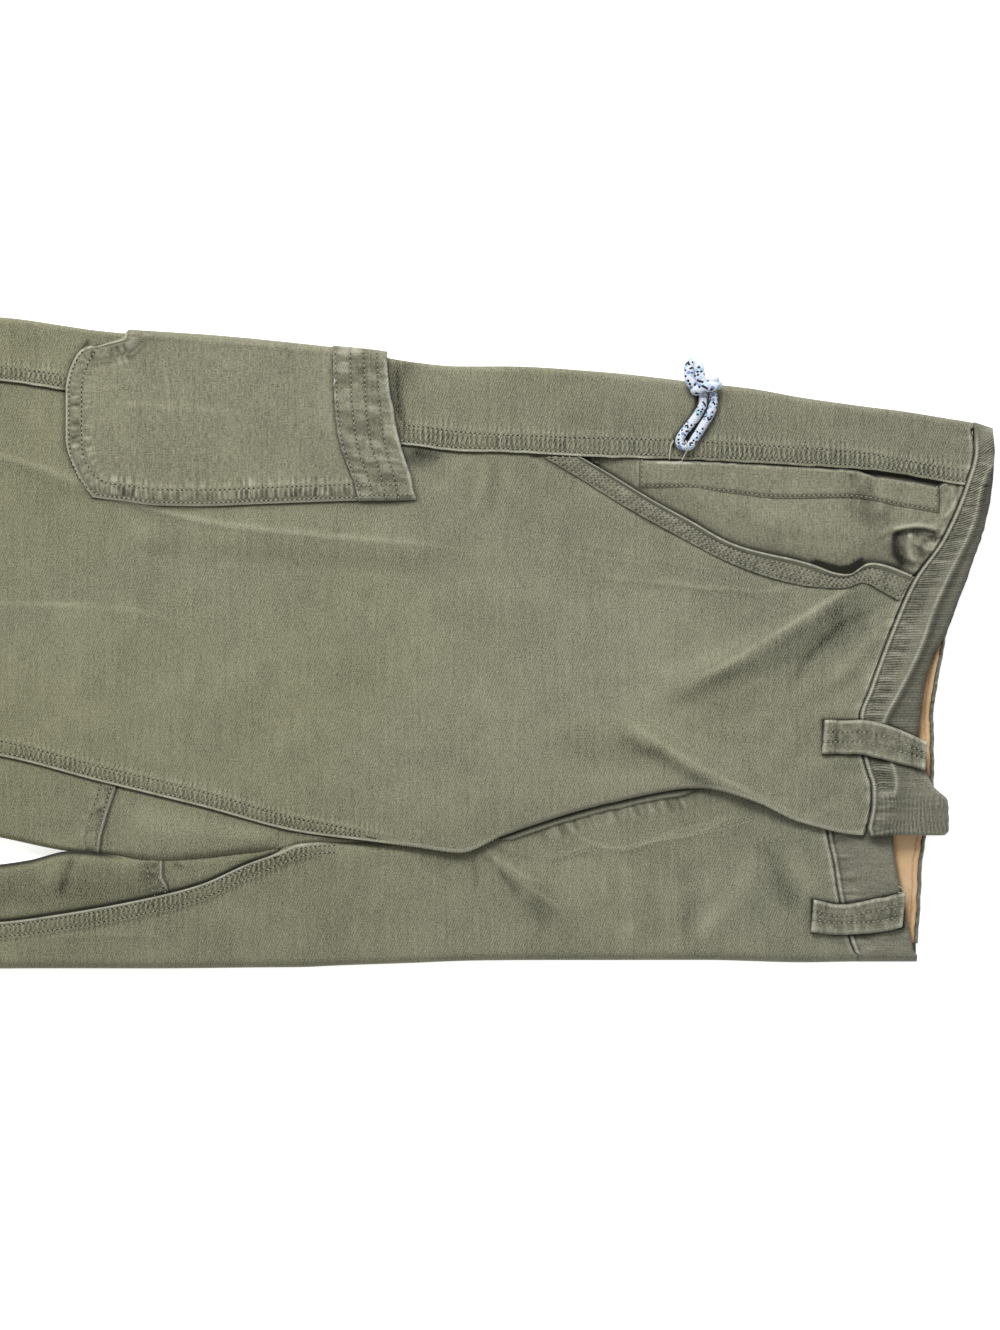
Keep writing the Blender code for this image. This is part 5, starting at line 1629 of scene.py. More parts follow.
def makePocketBand():
    cut = bandCut
    share = np.linspace(0, 1, 44)
    plan = acrossPlan(edgeSteps[:8], 66, [0.0])

    def onBand(share, y):
        x = onPocket(share, y, pocketBandStart) + 0.5 * share
        return x + 0.5 * waves(y / 9.0, 3.0, 91) * share

    x, y = pocketGrid(share, plan, onBand, 0.3)
    width = (smoothLine(pocketEndRows, y) - smoothLine(pocketBandStart, y)) + 0.5
    fromLeft = share[:, None] * width
    toRight = width - fromLeft
    toLow = y - pocketLow(x)
    z = pocketTop(x, y) + cut["rise"] * step(-0.4, 0.9, fromLeft)
    z -= (cut["rise"] + 0.8) * fall(-0.4, 1.6, toRight)
    z -= (cut["rise"] + 1.2) * fall(-0.4, 1.4, toLow)
    rows = np.zeros_like(x)
    for line in cut["rows"]:
        rows += bell(fromLeft - mix(line[0], line[1], unit((y - 76) / 82)) * width, 0.75)
    ribs = 0.7 * waves(y / 2.3 + fromLeft * 0.05, fromLeft / 7.0, 92)
    ribs += 0.4 * waves(y / 1.2, fromLeft / 4.0, 93)
    z += -0.42 * rows + 0.36 * ribs + 0.25 * waves(x / 8.0, y / 10.0, 94)
    # pale edges and painted highlights on the rib crests; painted shade in the stitch rows, rib troughs and
    # along the low edge
    paleTint = 0.6 * unit(ribs) + 0.8 * bell(toRight - 0.8, 0.9) + 0.5 * bell(toLow - 0.8, 0.8)
    paleTint = paleTint + 0.35 * bell(fromLeft - 0.7, 0.8)
    dark = 0.42 * rows + 0.45 * unit(-ribs) + 0.3 * bell(toLow - 2.2, 0.7)

    radius = (right("side", x[:, -1]) + pocketCut["rise"]) / 2
    grown = radius + cut["rise"] / 2
    foldY, foldZ = foldPoints(y[:, -1] + radius + cut["rise"], -cut["rise"] + 0 * radius, radius * 2, 1, 12)
    foldZ = foldZ + cut["rise"] * unit(foldZ / grown[:, None] - 0.2)
    foldY = foldY[:, :8]
    foldZ = np.maximum(foldZ[:, :8], 0.3)
    foldX = np.repeat(x[:, -1:], 8, 1)
    ribsHere = waves(foldY / 2.0 + foldZ / 2.0, foldX / 7.0, 92)
    rowsHere = np.repeat(rows[:, -1:], 8, 1)
    x, y, z = welded((x, y, z), (foldX, foldY, foldZ))
    paleTint, dark = welded((paleTint, dark), (0.5 * unit(ribsHere), 0.4 * rowsHere + 0.4 * unit(-ribsHere)))
    grid = (x, y, z)
    sew("cargoPocketBand", ["cargo_pocket_band"], grid, cut["wall"], "seam", paleTint, dark, toneAndShading=cut["toneAndShading"])


# scoop pocket: facing inside it, stitched band along its edge, slot welt under the side seam


def facingTop(x, y):
    edge = scoopAt(x)
    return rightHeight(x, y) - 2.6 * fall(0.0, 16.0, y - edge)


facingCut = {
    "wall": 0.9, "across": 84, "along": 300, "from": 343.0, "opening": (497, 506, 545, 548),
    "slot": (380, 388, 542, 550), "bar": 553,
}
facingCreases = [
    ([(519, 60), (522, 50), (528, 44), (537, 42)], 1.8, 2.0),
    ([(524, 58), (526, 52), (531, 47)], 1.5, -1.5),
    ([(527, 60), (530, 54), (536, 50), (543, 48)], 1.4, 1.4),
    ([(533, 58), (536, 54), (542, 52)], 1.3, -1.1),
    ([(514, 57), (522, 60.5), (531, 61), (541, 60), (548, 57)], 1.5, 1.5),
    ([(516, 54.5), (524, 57.5), (533, 57.6), (543, 55)], 1.2, -1.2),
    ([(512, 56), (516, 48), (523, 41)], 2.2, -1.2),
    ([(546, 64), (552, 69), (557, 77), (558, 86)], 1.3, 1.0),
    ([(395, 88), (430, 74), (470, 62), (505, 56)], 5.0, 0.45),
    ([(440, 62), (470, 54), (500, 50)], 3.0, -0.4),
    ([(540, 66), (534, 60), (528, 58)], 2.4, 0.7),
    ([(553, 84), (553.5, 77), (552, 70)], 1.2, 1.0),
]


# the crumple at the facing's lower corner: painted shade in its hollows and painted highlights on its crests
facingCrumples = [
    ([(543, 58.6), (536, 60.2), (529, 60.0), (523.5, 58.6), (520.8, 55)], 1.3, 0.75),
    ([(521.4, 57), (520.6, 51), (521.8, 45.5), (525.5, 41)], 1.9, 0.7),
    ([(524.8, 55.5), (525.4, 49.5), (528.2, 44)], 2.6, 0.42),
    ([(537.5, 53.6), (534.6, 49.6), (536.6, 45.4)], 1.5, 0.5),
    ([(541.6, 56.2), (545, 54.8), (548.5, 56)], 1.4, 0.5),
    ([(505, 90.5), (503.6, 84), (504.6, 77)], 2.4, 0.3),
    ([(509.6, 88), (509.4, 80), (506, 72), (507.5, 64)], 2.8, 0.24),
    ([(516.5, 85), (519, 77), (517.6, 69)], 2.4, 0.2),
]
# painted highlights on the crests
facingCrests = [
    ([(544, 60.9), (536, 62.6), (528.6, 62.2), (521.6, 60.4)], 1.0, 0.5),
    ([(529.6, 57), (528.4, 50.5), (530.2, 45), (533.6, 40.6)], 1.2, 0.5),
    ([(541.5, 57.2), (535.4, 57.6), (529.8, 57)], 0.9, 0.4),
    ([(540.6, 52.4), (544.4, 51.2), (547.6, 52.4)], 1.0, 0.4),
    ([(501.2, 87), (500.4, 80), (501.6, 73)], 1.5, 0.16),
    ([(513, 86), (514.4, 79), (513, 71)], 1.4, 0.18),
]


def makeScoopFacing():
    cut = facingCut
    x0 = np.linspace(cut["from"], stations["waist"], cut["along"])
    plan = acrossPlan([0.0, 3.0, 6.0, 8.0, 9.5, 11.0], cut["across"], farSteps)

    def lowAt(x):
        return scoopAt(x) - 8.0 + 6.0 * fall(346, 360, x)

    def highAt(x):
        return right("seam", x) + 1.2

    x, y, ends = flatPatch(x0, plan, lowAt, highAt, bandSeam)
    z = facingTop(x, y) + 0.5 * restless(x * 1.2, y * 1.2, 45) + raised(x, y, facingCreases, 47)
    z -= 0.7 * fall(346, 362, x)
    opening = span(*cut["opening"], x)
    z -= 1.4 * opening * bell(right("seam", x) - y - 1.4, 2.0)
    # painted shade under the scoop band's edge, along the side seam, in the slot and the opening, and in the
    # gap by the band
    dark = 0.8 * bell(y - scoopAt(x), 1.7) + 0.3 * bell(y - scoopAt(x), 5.0)
    slot = span(*cut["slot"], x)
    toSide = right("seam", x) - y
    dark = dark + 0.8 * bell(toSide, 1.4) + 0.3 * slot * bell(toSide, 2.4)
    dark = dark + 1.2 * opening * bell(toSide - 1.3, 2.6)
    gap = [(478, 41.6), (484, 39.8), (491, 38.2), (497, 38.9), (503, 42.6)]
    dark = dark + 1.4 * bell(nearLine(x, y, gap)[0], 1.8)
    # painted shade in the hollow of the crumple
    hollow = np.exp(-(((x - 526) / 9) ** 2) - ((y - 49) / 7) ** 2)
    dark = dark + 0.3 * hollow * (waves(x / 3, y / 3, 9) * 0.7 + 0.6)
    for line, width, depth in facingCrumples:
        dark = dark + depth * bell(nearLine(x, y, softened(line))[0], width)
    rise, paleTint, shadow = waistPucker(ends[None, :] - x, y, 37)
    z += rise
    dark = dark + shadow
    bar = bell(x - cut["bar"], 1.3) * span(68, 71, 82, 84, y)
    for line, width, pale in facingCrests:
        paleTint = paleTint + pale * bell(nearLine(x, y, softened(line))[0], width)
    paleTint = paleTint + 0.3 * bar + 0.35 * bell(x - 379.8, 0.9) * step(83, 85, y)
    # painted shade beside the bar
    dark = dark + 0.5 * bell(x - cut["bar"] - 3, 1.0) * step(68, 71, y)
    toneAndShading = toneAndShadingAt(x, y) - 0.01
    sew("scoopFacing", ["scoop_pocket_facing"], (x, y, z), cut["wall"], "pocket", paleTint, dark, 0.0, toneAndShading)


scoopBandCut = {"wall": 0.9, "piping": 2.4, "rows": (0.31, 0.49, 0.67, 0.85), "lift": 0.9}
scoopUpper = [
    (349, 99.6), (368, 88.6), (388, 76), (411, 63.9), (423, 56.4), (435, 50.9), (450, 46.9),
    (467, 43.5), (478, 40.2), (488, 36.0), (497, 35.0), (501, 38), (507, 42.2), (517, 40.6),
    (531, 34.8),
]
scoopLower = [
    (328, 99.6), (350, 86.6), (371, 73), (399, 57.8), (412, 50.6), (426, 43.2), (441, 37), (456, 32),
    (468, 29.2), (480, 27.8), (489, 27.2), (496, 27.8), (504, 31.5), (513, 26.4), (523, 20.8),
]


def frontTop(x, y):
    return rightHeight(x, y) + folded(x, y) + raised(x, y, rightCreases, 11) + restless(x, y)


def makeScoopBand():
    cut = scoopBandCut
    upper = np.array(softened(scoopUpper, 2))
    lower = np.array(softened(scoopLower, 2))
    keys = np.linspace(0, 1, len(upper))
    run = np.linspace(0, 1, 240)
    upX = np.interp(run, keys, upper[:, 0])
    upY = np.interp(run, keys, upper[:, 1])
    lowX = np.interp(run, keys, lower[:, 0])
    lowY = np.interp(run, keys, lower[:, 1])
    width = np.hypot(upX - lowX, upY - lowY)[:, None]
    across = np.concatenate([np.linspace(1.0, 0.25, 17), np.linspace(0.2, 0.0, 8)])[None, :]
    x = mix(upX[:, None], lowX[:, None], across)
    y = mix(upY[:, None], lowY[:, None], across)
    away = across * width
    along = np.repeat(run[:, None] * 225.0, across.shape[1], 1)
    z = frontTop(x, y) + 0.25 + cut["lift"] * step(0.0, 0.35, 1 - across)
    z += 0.85 * bell(away - cut["piping"] / 2, 1.15) - 1.5 * bell(away, 0.55)
    groove = bell(away - cut["piping"] - 0.7, 0.6)
    rows = np.zeros_like(x)
    for line in cut["rows"]:
        rows += bell(away - line * width, 0.7)
    ribs = waves(along / 1.5, away / 3.0, 101) * step(3.0, 4.5, away)
    z += -0.5 * groove - 0.3 * rows + 0.2 * ribs + 0.25 * waves(along / 9.0, away / 8.0, 102)
    # pale piping and painted highlights on the rib crests; painted shade in the groove, stitch rows, rib
    # troughs and along the low edge
    paleTint = 0.5 * bell(away - 0.75, 0.6) + 0.4 * bell(away - 2.5, 0.55) + 0.32 * unit(ribs)
    paleTint = paleTint + 0.5 * bell(away - 0.5, 0.6) * unit(waves(along / 3.0, 0.3, 104) + 0.2)
    dark = 0.55 * groove + 0.2 * rows + 0.3 * unit(-ribs) + 0.4 * bell(away - 1.65, 0.45)
    dark = dark + 0.4 * bell(width - away, 0.7) * (0.6 + 0.6 * waves(along / 1.6, 1.1, 103))
    bar = bell(x - 527, 4.0) * step(0.2, 0.4, across)
    paleTint = paleTint + 0.3 * bar * unit(waves(x / 1.2, y / 2.2, 105))
    toneAndShading = toneAndShadingAt(x, y) - 0.02
    sew("scoopBand", ["scoop_pocket_band"], (x, y, z), cut["wall"], "seam", paleTint, dark, 0.0, toneAndShading)


weltLine = [
    (382, 83.7), (399, 83.7), (429, 80.9), (460, 77.8), (492, 78.4), (507, 77.2), (522, 74.0),
    (545, 69.9),
]
# the last span is the stretch where the welt's edge is fraying
weltCut = {"wall": 0.9, "from": 380.5, "to": 546.0, "rise": 1.3, "paleMarks": (388, 392, 405, 412)}


def makeSlotWelt():
    cut = weltCut
    x0 = np.linspace(cut["from"], cut["to"], 190)
    plan = acrossPlan([0.0, 0.5, 1.0, 1.7, 2.5, 3.4], 8, [3.2, 2.2, 1.5, 0.9, 0.4, 0.0])

    def lowAt(x):
        return smoothLine(weltLine, x) - 0.9

    def highAt(x):
        return right("seam", x) - 0.8 - 2.4 * step(499, 512, x) - 0.3 * waves(x / 4.0, 0.5, 111)

    x, y, _ = flatPatch(x0, plan, lowAt, highAt)
    away = highAt(x) - y
    toLow = y - lowAt(x)
    ends = np.minimum(x - cut["from"], cut["to"] - x)
    lift = cut["rise"] * step(-0.2, 2.5, toLow) * step(-0.5, 1.5, ends)
    z = facingTop(x, y) + 0.3 + lift + 0.3 * restless(x * 1.4, y * 1.4, 113)
    z -= 1.2 * bell(away, 0.8)
    z += 0.25 * waves(x / 3.0, y / 5.0, 114) * bell(away, 5.0)
    row = bell(toLow - 1.3, 0.65)
    z -= 0.3 * row
    paleMarks = span(*cut["paleMarks"], x)
    paleTint = 0.45 * bell(away - 0.6, 0.8) * (0.6 + 0.6 * waves(x / 2.6, 0.9, 115))
    paleTint = paleTint + 0.8 * paleMarks * bell(away - 0.9, 1.0)
    paleTint = paleTint + 0.22 * unit(waves(x / 1.8, y / 3.0, 116)) * bell(toLow, 3.0)
    # painted shade along the welt's edge under the side seam and at its ends
    dark = 0.14 * row + 0.5 * bell(ends, 0.9) + 0.75 * bell(away, 0.6)
    toneAndShading = toneAndShadingAt(x, y) - 0.02
    sew("slotWelt", ["slot_pocket_welt"], (x, y, z), cut["wall"], "pocket", paleTint, dark, 0.0, toneAndShading)


makeCargoPocket()
makePocketBand()
makeScoopFacing()
makeScoopBand()
makeSlotWelt()
print("pockets ready")

# waistband, its lining and the belt loops


leftBandTop = float(left("height", 501.0)) + 0.5


def bandTop(x, y):
    return rightHeight(x, y) + 1.0 + 1.8 * step(-66.0, -90.0, y)


bandRidge = [
    (578, 104), (575, 96), (568.5, 85.7), (565.4, 64), (553, 39.2), (542, 15.9), (536, -4.3),
    (522, -32.2), (514.2, -45), (513, -56), (518, -66.5), (521.5, -74.2), (521.5, -84.1), (516, -96),
    (514, -108.3),
]
rightBandCut = {"wall": 1.3, "fine": 0.8, "fold": 14, "tuck": 10.0, "hatch": 0.3, "tip": -108.3}


def makeRightBand():
    cut = rightBandCut
    share = np.concatenate([np.linspace(0, 0.16, 15), np.linspace(0.18, 0.9, 34), np.linspace(0.92, 1.0, 8)])
    tipSteps = cut["tip"] + np.array([0.0, 0.35, 0.8, 1.4, 2.1])
    line = np.concatenate([tipSteps, np.arange(-105.4, 103.0, cut["fine"]), [104.0]])
    y = np.repeat(line[None, :], len(share), 0)
    seam = smoothLine(bandRows, line)[None, :] + 0 * y
    edge = smoothLine(bandRows, line, 2)[None, :] + 0 * y
    edge = edge + 0.5 * waves(y / 8.0, 0.2, 121) + 0.3 * waves(y / 3.0, 0.7, 122)
    # the end over the button is rounded off
    tip = y - cut["tip"]
    seam = seam + 2.5 * bell(tip, 3.0)
    edge = edge - 1.6 * bell(tip, 1.2)
    x = mix(seam, edge, share[:, None])
    away = x - seam
    toEdge = edge - x
    z = bandTop(x, np.minimum(y, right("top", x) - 4)) + 0.7 * restless(x, y, 125)
    ridge, _, side, _ = nearLine(x, y, softened(bandRidge, 2))
    z += 1.15 * bell(ridge, np.where(side > 0, 2.2, 4.0))
    z -= 0.7 * bell(away, 0.6)
    z += 0.6 * bell(away - 1.7, 0.9) - 0.4 * bell(away - 3.4, 0.7) + 0.3 * bell(away - 5.0, 1.1)
    hatch = 0.7 * waves(y / 1.4, away / 11.0, 126) + 0.45 * waves(y / 0.9, away / 6.0, 127)
    strength = span(2.6, 4.0, 10.0, 15.0, away) + 0.3
    z += cut["hatch"] * hatch * strength
    z -= 2.8 * fall(-0.6, 3.2, toEdge) + 1.6 * fall(-0.3, 1.8, tip)
    z += 0.6 * waves(y / 11.0, x / 14.0, 128) * step(40, 70, y)
    # pale seam ridge, and painted highlights on the ridge crest, the hatch and the rounded tip
    paleTint = 0.75 * bell(away - 1.5, 0.8) + 0.5 * unit(hatch) * strength
    paleTint = paleTint + 0.85 * bell(ridge, 0.75) * (0.75 + 0.4 * waves(y / 5.0, 0.5, 129)) * step(-92, -80, y)
    paleTint = paleTint + 0.35 * bell(tip - 1.0, 1.0) + 0.4 * bell(toEdge - 0.8, 0.7) * step(-70, -80, y)
    # painted shade in the seam, the stitch row, the hatch troughs, at the rolled edge and beyond the ridge
    dark = 0.8 * bell(away, 0.6) + 0.5 * bell(away - 3.2, 0.55) * (0.7 + 0.5 * waves(y / 1.2, 0.3, 130))
    dark = dark + 0.42 * unit(-hatch) * strength + 0.3 * bell(toEdge, 1.6)
    beyond = side * ridge
    dark = dark + 0.34 * bell(beyond - 3.0, 2.4) * step(-62, -40, y)
    dark = dark + 0.3 * step(0.8, 3.0, beyond) * fall(86, 104, y) * step(-70, -62, y)
    # painted light and shade on the fine lines of the band's tip
    sway = 0.6 * waves(x / 7.0, y / 9.0, 138)
    tipLines = np.sin(2 * np.pi * (x / 2.3 + sway)) * (0.6 + 0.5 * waves(x / 5.0, y / 8.0, 139))
    tipLines = tipLines * step(-82, -88, y) * step(4, 7, away)
    paleTint = paleTint + 0.4 * unit(tipLines)
    dark = dark + 0.5 * unit(-tipLines) + 0.1 * step(-82, -88, y)
    dark = dark + 0.2 * step(-66, -74, y) * bell(away - 16.0, 7.0)
    dark = dark + underLoop(x, y, loopRightRows)
    ribs = 0.75 * strength * step(-86, -80, y)

    foldX = mix(565.0, 575.5, share)
    height = right("side", foldX) + 1.0
    top = right("top", foldX) + 0.5
    foldY, foldZ = foldPoints(top, 0 * top, height, 1, cut["fold"])
    foldX = np.repeat(foldX[:, None], foldY.shape[1], 1)
    foldHatch = waves((foldY + foldZ) / 1.5, foldX / 9.0, 126)
    foldY = foldY + 0.35 * foldHatch
    foldZ = np.maximum(foldZ, 0.2)
    under = np.linspace(0, 1, 4)
    underX = np.repeat(foldX[:, -1:], 4, 1)
    underY = mix((top - height / 2)[:, None], (top - height / 2)[:, None] - cut["tuck"], under[None, :])
    rest = 0 * underY
    x, y, z = welded((x, y, z), (foldX, foldY, foldZ), (underX, underY, rest))
    onFold = (0.25 * unit(foldHatch), 0.3 * unit(-foldHatch), 0 * foldY)
    paleTint, dark, ribs = welded((paleTint, dark, ribs), onFold, (rest, rest, rest))
    toneAndShading = toneAndShadingAt(x, y) * 0.5
    wall = cut["wall"]
    sew("rightBand", ["waistband_right"], (x, y, z), wall, "band", paleTint, dark, ribs, toneAndShading, swapWeave=True)


leftBandCut = {"wall": 1.3, "fine": 0.9, "fold": 12}


def makeLeftBand():
    cut = leftBandCut
    share = np.concatenate([np.linspace(0, 0.16, 14), np.linspace(0.18, 0.9, 30), np.linspace(0.92, 1.0, 8)])
    height = leftBandTop
    line = np.arange(-172.5, -93.5, cut["fine"])
    y = np.repeat(line[None, :], len(share), 0)
    seam = smoothLine(waistRows, line, 1)[None, :] + 0 * y
    edge = smoothLine(waistRows, line, 2)[None, :] + 0.4 * waves(y / 6.0, 0.3, 131)
    x = mix(seam, edge, share[:, None])
    away = x - seam
    toEdge = edge - x
    hatch = 0.7 * waves(y / 1.9, away / 9.0, 132) + 0.4 * waves(y / 1.1, away / 6.0, 133)
    strength = fall(8.0, 14.0, away) + 0.3
    z = height + 0.5 * restless(x, y, 135) - 1.0 * bell(away, 0.8)
    z = z + 0.5 * bell(away - 1.7, 1.0) - 0.35 * bell(away - 3.4, 0.7)
    z += 0.25 * hatch * strength - 2.2 * fall(-0.5, 2.6, toEdge) + 0.4 * bell(away - 17.0, 4.0)
    # pale seam ridge and painted highlights on the hatch; painted shade in the seam, the stitch row, the
    # hatch troughs, at the edge and under the right band's tip
    paleTint = 0.7 * bell(away - 1.5, 0.8) + 0.35 * unit(hatch) * strength
    dark = 0.8 * bell(away, 0.6) + 0.45 * bell(away - 3.2, 0.55) + 0.3 * unit(-hatch) * strength
    dark = dark + 0.3 * bell(toEdge, 1.4) + underLoop(x, y, loopLeftRows)
    dark = dark + 0.5 * bell(np.minimum(y + 108.0, 0), 5.0)
    foldX = mix(501.0, 533.5, share)
    edgeY = np.full(len(share), -178.2)
    foldY, foldZ = foldPoints(edgeY, 0 * edgeY, 0 * edgeY + height, -1, cut["fold"])
    foldX = np.repeat(foldX[:, None], foldY.shape[1], 1)
    under = np.linspace(1, 0, 8)
    underX = np.repeat(foldX[:, :1], 8, 1)
    underY = mix(-172.9, -67.0, under)[None, :] + 0 * underX
    none = 0 * foldY
    rest = 0 * underY
    grid = welded((underX, underY, rest), (foldX, foldY, foldZ), (x, y, z))
    paleTint, dark = welded((rest, rest), (none, none), (paleTint, dark))
    sew("leftBand", ["waistband_left"], grid, cut["wall"], "band", paleTint, dark, swapWeave=True)


backBandCut = {"wall": 1.2, "liningWall": 0.9, "liningIn": 2.4, "stitchIn": 5.2}


def makeBackBand():
    cut = backBandCut
    line = np.arange(-168.0, 98.1, 0.9)
    lift = 3.4 * fall(-64, -42, line)[None, :]
    seam = (smoothLine(waistRows, line, 4) + 0.8)[None, :]
    edge = smoothLine(waistRows, line, 3)[None, :] + 0.45 * waves(line / 3.4, 0.4, 141)[None, :]
    share = np.concatenate([np.linspace(0, 0.7, 8), np.linspace(0.74, 1.0, 15)])[:, None]
    x = mix(seam, edge, share)
    y = line[None, :] + 0 * x
    toEdge = edge - x
    roll = 0.75 + 0.35 * waves(y / 2.6, 0.8, 142)
    z = 1.8 + lift + 2.3 * roll * bell(toEdge - 1.2, 1.2) - 0.9 * bell(toEdge, 0.7)
    paleTint = 0.25 * unit(waves(y / 2.2, 1.5, 143)) * bell(toEdge - 1.0, 1.0)
    # painted shade in the roll's groove and troughs
    dark = 0.5 * bell(toEdge - 2.7, 0.7) + 0.3 * unit(-waves(y / 2.2, 1.5, 143))
    sew("backBand", ["waistband_back"], (x, y, z), cut["wall"], "band", paleTint, dark, toneAndShading=-0.1, swapWeave=True)

    edge = edge - cut["liningIn"] + 0.3 * waves(line / 4.0, 1.4, 144)[None, :]
    share = np.concatenate([np.linspace(0, 0.6, 8), np.linspace(0.64, 1.0, 22)])[:, None]
    x = mix(seam, edge, share)
    y = line[None, :] + 0 * x
    toEdge = edge - x
    row = toEdge - cut["stitchIn"] + cut["liningIn"]
    z = 3.35 + lift + 0.25 * waves(x / 6.0, y / 12.0, 145) - 0.35 * bell(row, 0.6)
    z += 0.2 * waves(y / 1.9, x / 3.0, 146) * bell(row, 3.0) + 0.3 * bell(toEdge - 1.2, 1.0)
    # painted shade along the stitch row and the edge, and painted shadow where the lining runs under the
    # front bands
    dark = 0.3 * bell(row, 0.55) + 0.22 * bell(toEdge, 0.8)
    inward = smoothLine(bandRows, y, 2)
    hidden = np.where(y > -108, inward, smoothLine(waistRows, y, 2))
    dark = dark + 0.7 * bell(np.maximum(x - hidden, 0), 1.8) * (x > hidden - 3)
    wall = cut["liningWall"]
    grid = (x, y, z)
    sew("bandLining", ["waistband_lining"], grid, wall, "lining", dark=dark, slot="lining", swapWeave=True)


loopCut = {"wall": 1.2, "rise": 2.1, "row": 6.6, "turned": 6.5}


def makeLoop(name, node, rows, heightAt, seed):
    cut = loopCut
    first = rows[0][0]
    last = rows[-1][0]
    size = last - first
    ends = np.array([0.0, 0.4, 0.9, 1.5])
    middle = np.linspace(first + 2.3, last - 2.3, int(size / 0.8))
    x0 = np.concatenate([first + ends, middle, last - ends[::-1]])
    share = np.concatenate([[0.0, 0.02, 0.045, 0.08, 0.12], np.linspace(0.17, 0.83, 15),
                            [0.88, 0.92, 0.955, 0.98, 1.0]])
    low = smoothLine(rows, x0, 2)[:, None] + 0.3 * waves(x0 / 5.0, 0.2, seed)[:, None]
    high = smoothLine(rows, x0, 1)[:, None] + 0.3 * waves(x0 / 5.0, 1.2, seed)[:, None]
    x = np.repeat(x0[:, None], len(share), 1)
    y = mix(low, high, share[None, :])
    # the strip's ends are cut a little slanted
    x = x + 0.10 * (y - (low + high) / 2)
    toLow = y - low
    toHigh = high - y
    toEnd = np.minimum(x0 - first, last - x0)[:, None] + 0 * x
    sides = np.minimum(toLow, toHigh)
    z = heightAt(x, y) + 0.35 + cut["rise"] + 0.25 * restless(x * 1.5, y * 1.5, seed)
    z -= 2.1 * fall(-0.5, 1.2, sides) + 1.6 * fall(-0.5, 1.2, toEnd)
    z += 0.8 * fall(cut["turned"] - 1.0, cut["turned"] + 0.6, toEnd)
    rowLines = bell(toLow - cut["row"], 0.6) + bell(toHigh - cut["row"], 0.6)
    cross = bell(toEnd - cut["turned"] + 1.8, 0.6)
    z -= 0.4 * rowLines + 0.35 * cross
    z += 0.5 * bell(sides - 1.6, 1.2) + 0.2 * waves(x / 1.7, y / 4.0, seed + 1)
    pucker = waves(x / 1.6, y / 3.0, seed + 2)
    # pale edges and painted highlights on the puckers; painted shade in the stitch rows, at the turned ends
    # and in pucker troughs
    paleTint = 0.45 * bell(sides - 1.0, 1.0) + 0.55 * bell(toEnd - 1.0, 1.1) + 0.28 * unit(pucker)
    dashes = unit(0.4 + np.sin(2 * np.pi * x / 2.7) + 0.4 * waves(x / 4.0, y / 4.0, seed + 3))
    dark = 0.75 * rowLines * dashes + 0.35 * cross + 0.25 * unit(-pucker)
    dark = dark + 0.4 * bell(toEnd - cut["turned"] - 0.6, 0.7)
    dark = dark + 0.15 * bell(sides - 9.0, 3.0)
    sew(name, [node], (x, y, z), cut["wall"], "seam", paleTint, dark, 0.0, -0.02)


def overRight(x, y):
    return mix(rightHeight(x, y), bandTop(x, y), step(486, 498, x))


def overLeft(x, y):
    return mix(left("height", x), leftBandTop, step(478, 488, x))


makeRightBand()
makeLeftBand()
makeBackBand()
makeLoop("rightLoop", "belt_loop_right", loopRightRows, overRight, 151)
makeLoop("leftLoop", "belt_loop_left", loopLeftRows, overLeft, 161)
print("waistband and loops ready")

# fly: shield, zip and the button under the band's end

flyCut = {
    "wall": 0.9, "shieldIn": 3.0, "shieldOut": 3.4, "shieldEnds": (300, 312, 400, 416), "zipWall": 0.8,
    "zipFrom": 3.35, "zipTo": 12.0, "button": (514.5, -101.0),
}


def makeFlyShield():
    cut = flyCut
    x0 = np.linspace(304, 416, 150)
    plan = acrossPlan([0.0, 0.4, 0.9, 1.5, 2.2], 8, [0.0])

    def lowAt(x):
        taper = span(*cut["shieldEnds"], x)
        return right("front", x) - 0.6 - cut["shieldOut"] * taper + 0.3 * waves(x / 7.0, 0.6, 171)

    def highAt(x):
        return right("front", x) + cut["shieldIn"]

    x, y, _ = flatPatch(x0, plan, lowAt, highAt)
    away = y - lowAt(x)
    z = left("height", x) + 1.55 + 0.3 * waves(x / 12.0, y / 9.0, 172) - 1.0 * fall(-0.3, 1.2, away)
    paleTint = 0.38 * bell(away - 0.8, 0.7)
    # painted shadow under the right front's edge
    dark = bell(y - right("front", x) + 0.6, 1.7)
    sew("flyShield", ["fly_shield"], (x, y, z), cut["wall"], "seam", paleTint, dark, 0.0, -0.03)


def makeZip():
    x0 = np.linspace(306, 412, 60)
    plan = acrossPlan([0.0], 6, [0.0])

    def lowAt(x):
        return right("front", x) + flyCut["zipFrom"]

    def highAt(x):
        return right("front", x) + flyCut["zipTo"]

    x, y, _ = flatPatch(x0, plan, lowAt, highAt)
    sew("zipTape", ["zip"], (x, y, left("height", x) + 1.5), flyCut["zipWall"], "zip", slot="zip")


# radius and height of each ring, from the middle of its face round to its back
buttonProfile = [
    (1.2, 1.5), (2.4, 1.42), (3.6, 1.2), (4.3, 1.25), (5.0, 1.35), (5.6, 1.2), (5.95, 0.85), (6.0, 0.6),
    (5.7, 0.3), (4.6, 0.12), (2.0, 0.1),
]


def makeButton():
    height = leftBandTop + 0.35
    turns = 40
    verts = []
    for r, h in buttonProfile:
        for k in range(turns):
            angle = 2 * math.pi * k / turns
            verts.append(
                ((flyCut["button"][0] + r * math.cos(angle)) * mm,
                 (flyCut["button"][1] + r * math.sin(angle)) * mm,
                 (height + h * 0.82) * mm)
            )
    button = meshPiece("waistButton", verts, ringFaces(len(buttonProfile), turns), finishes["brass"])
    attach(button, "button", "waist_button")


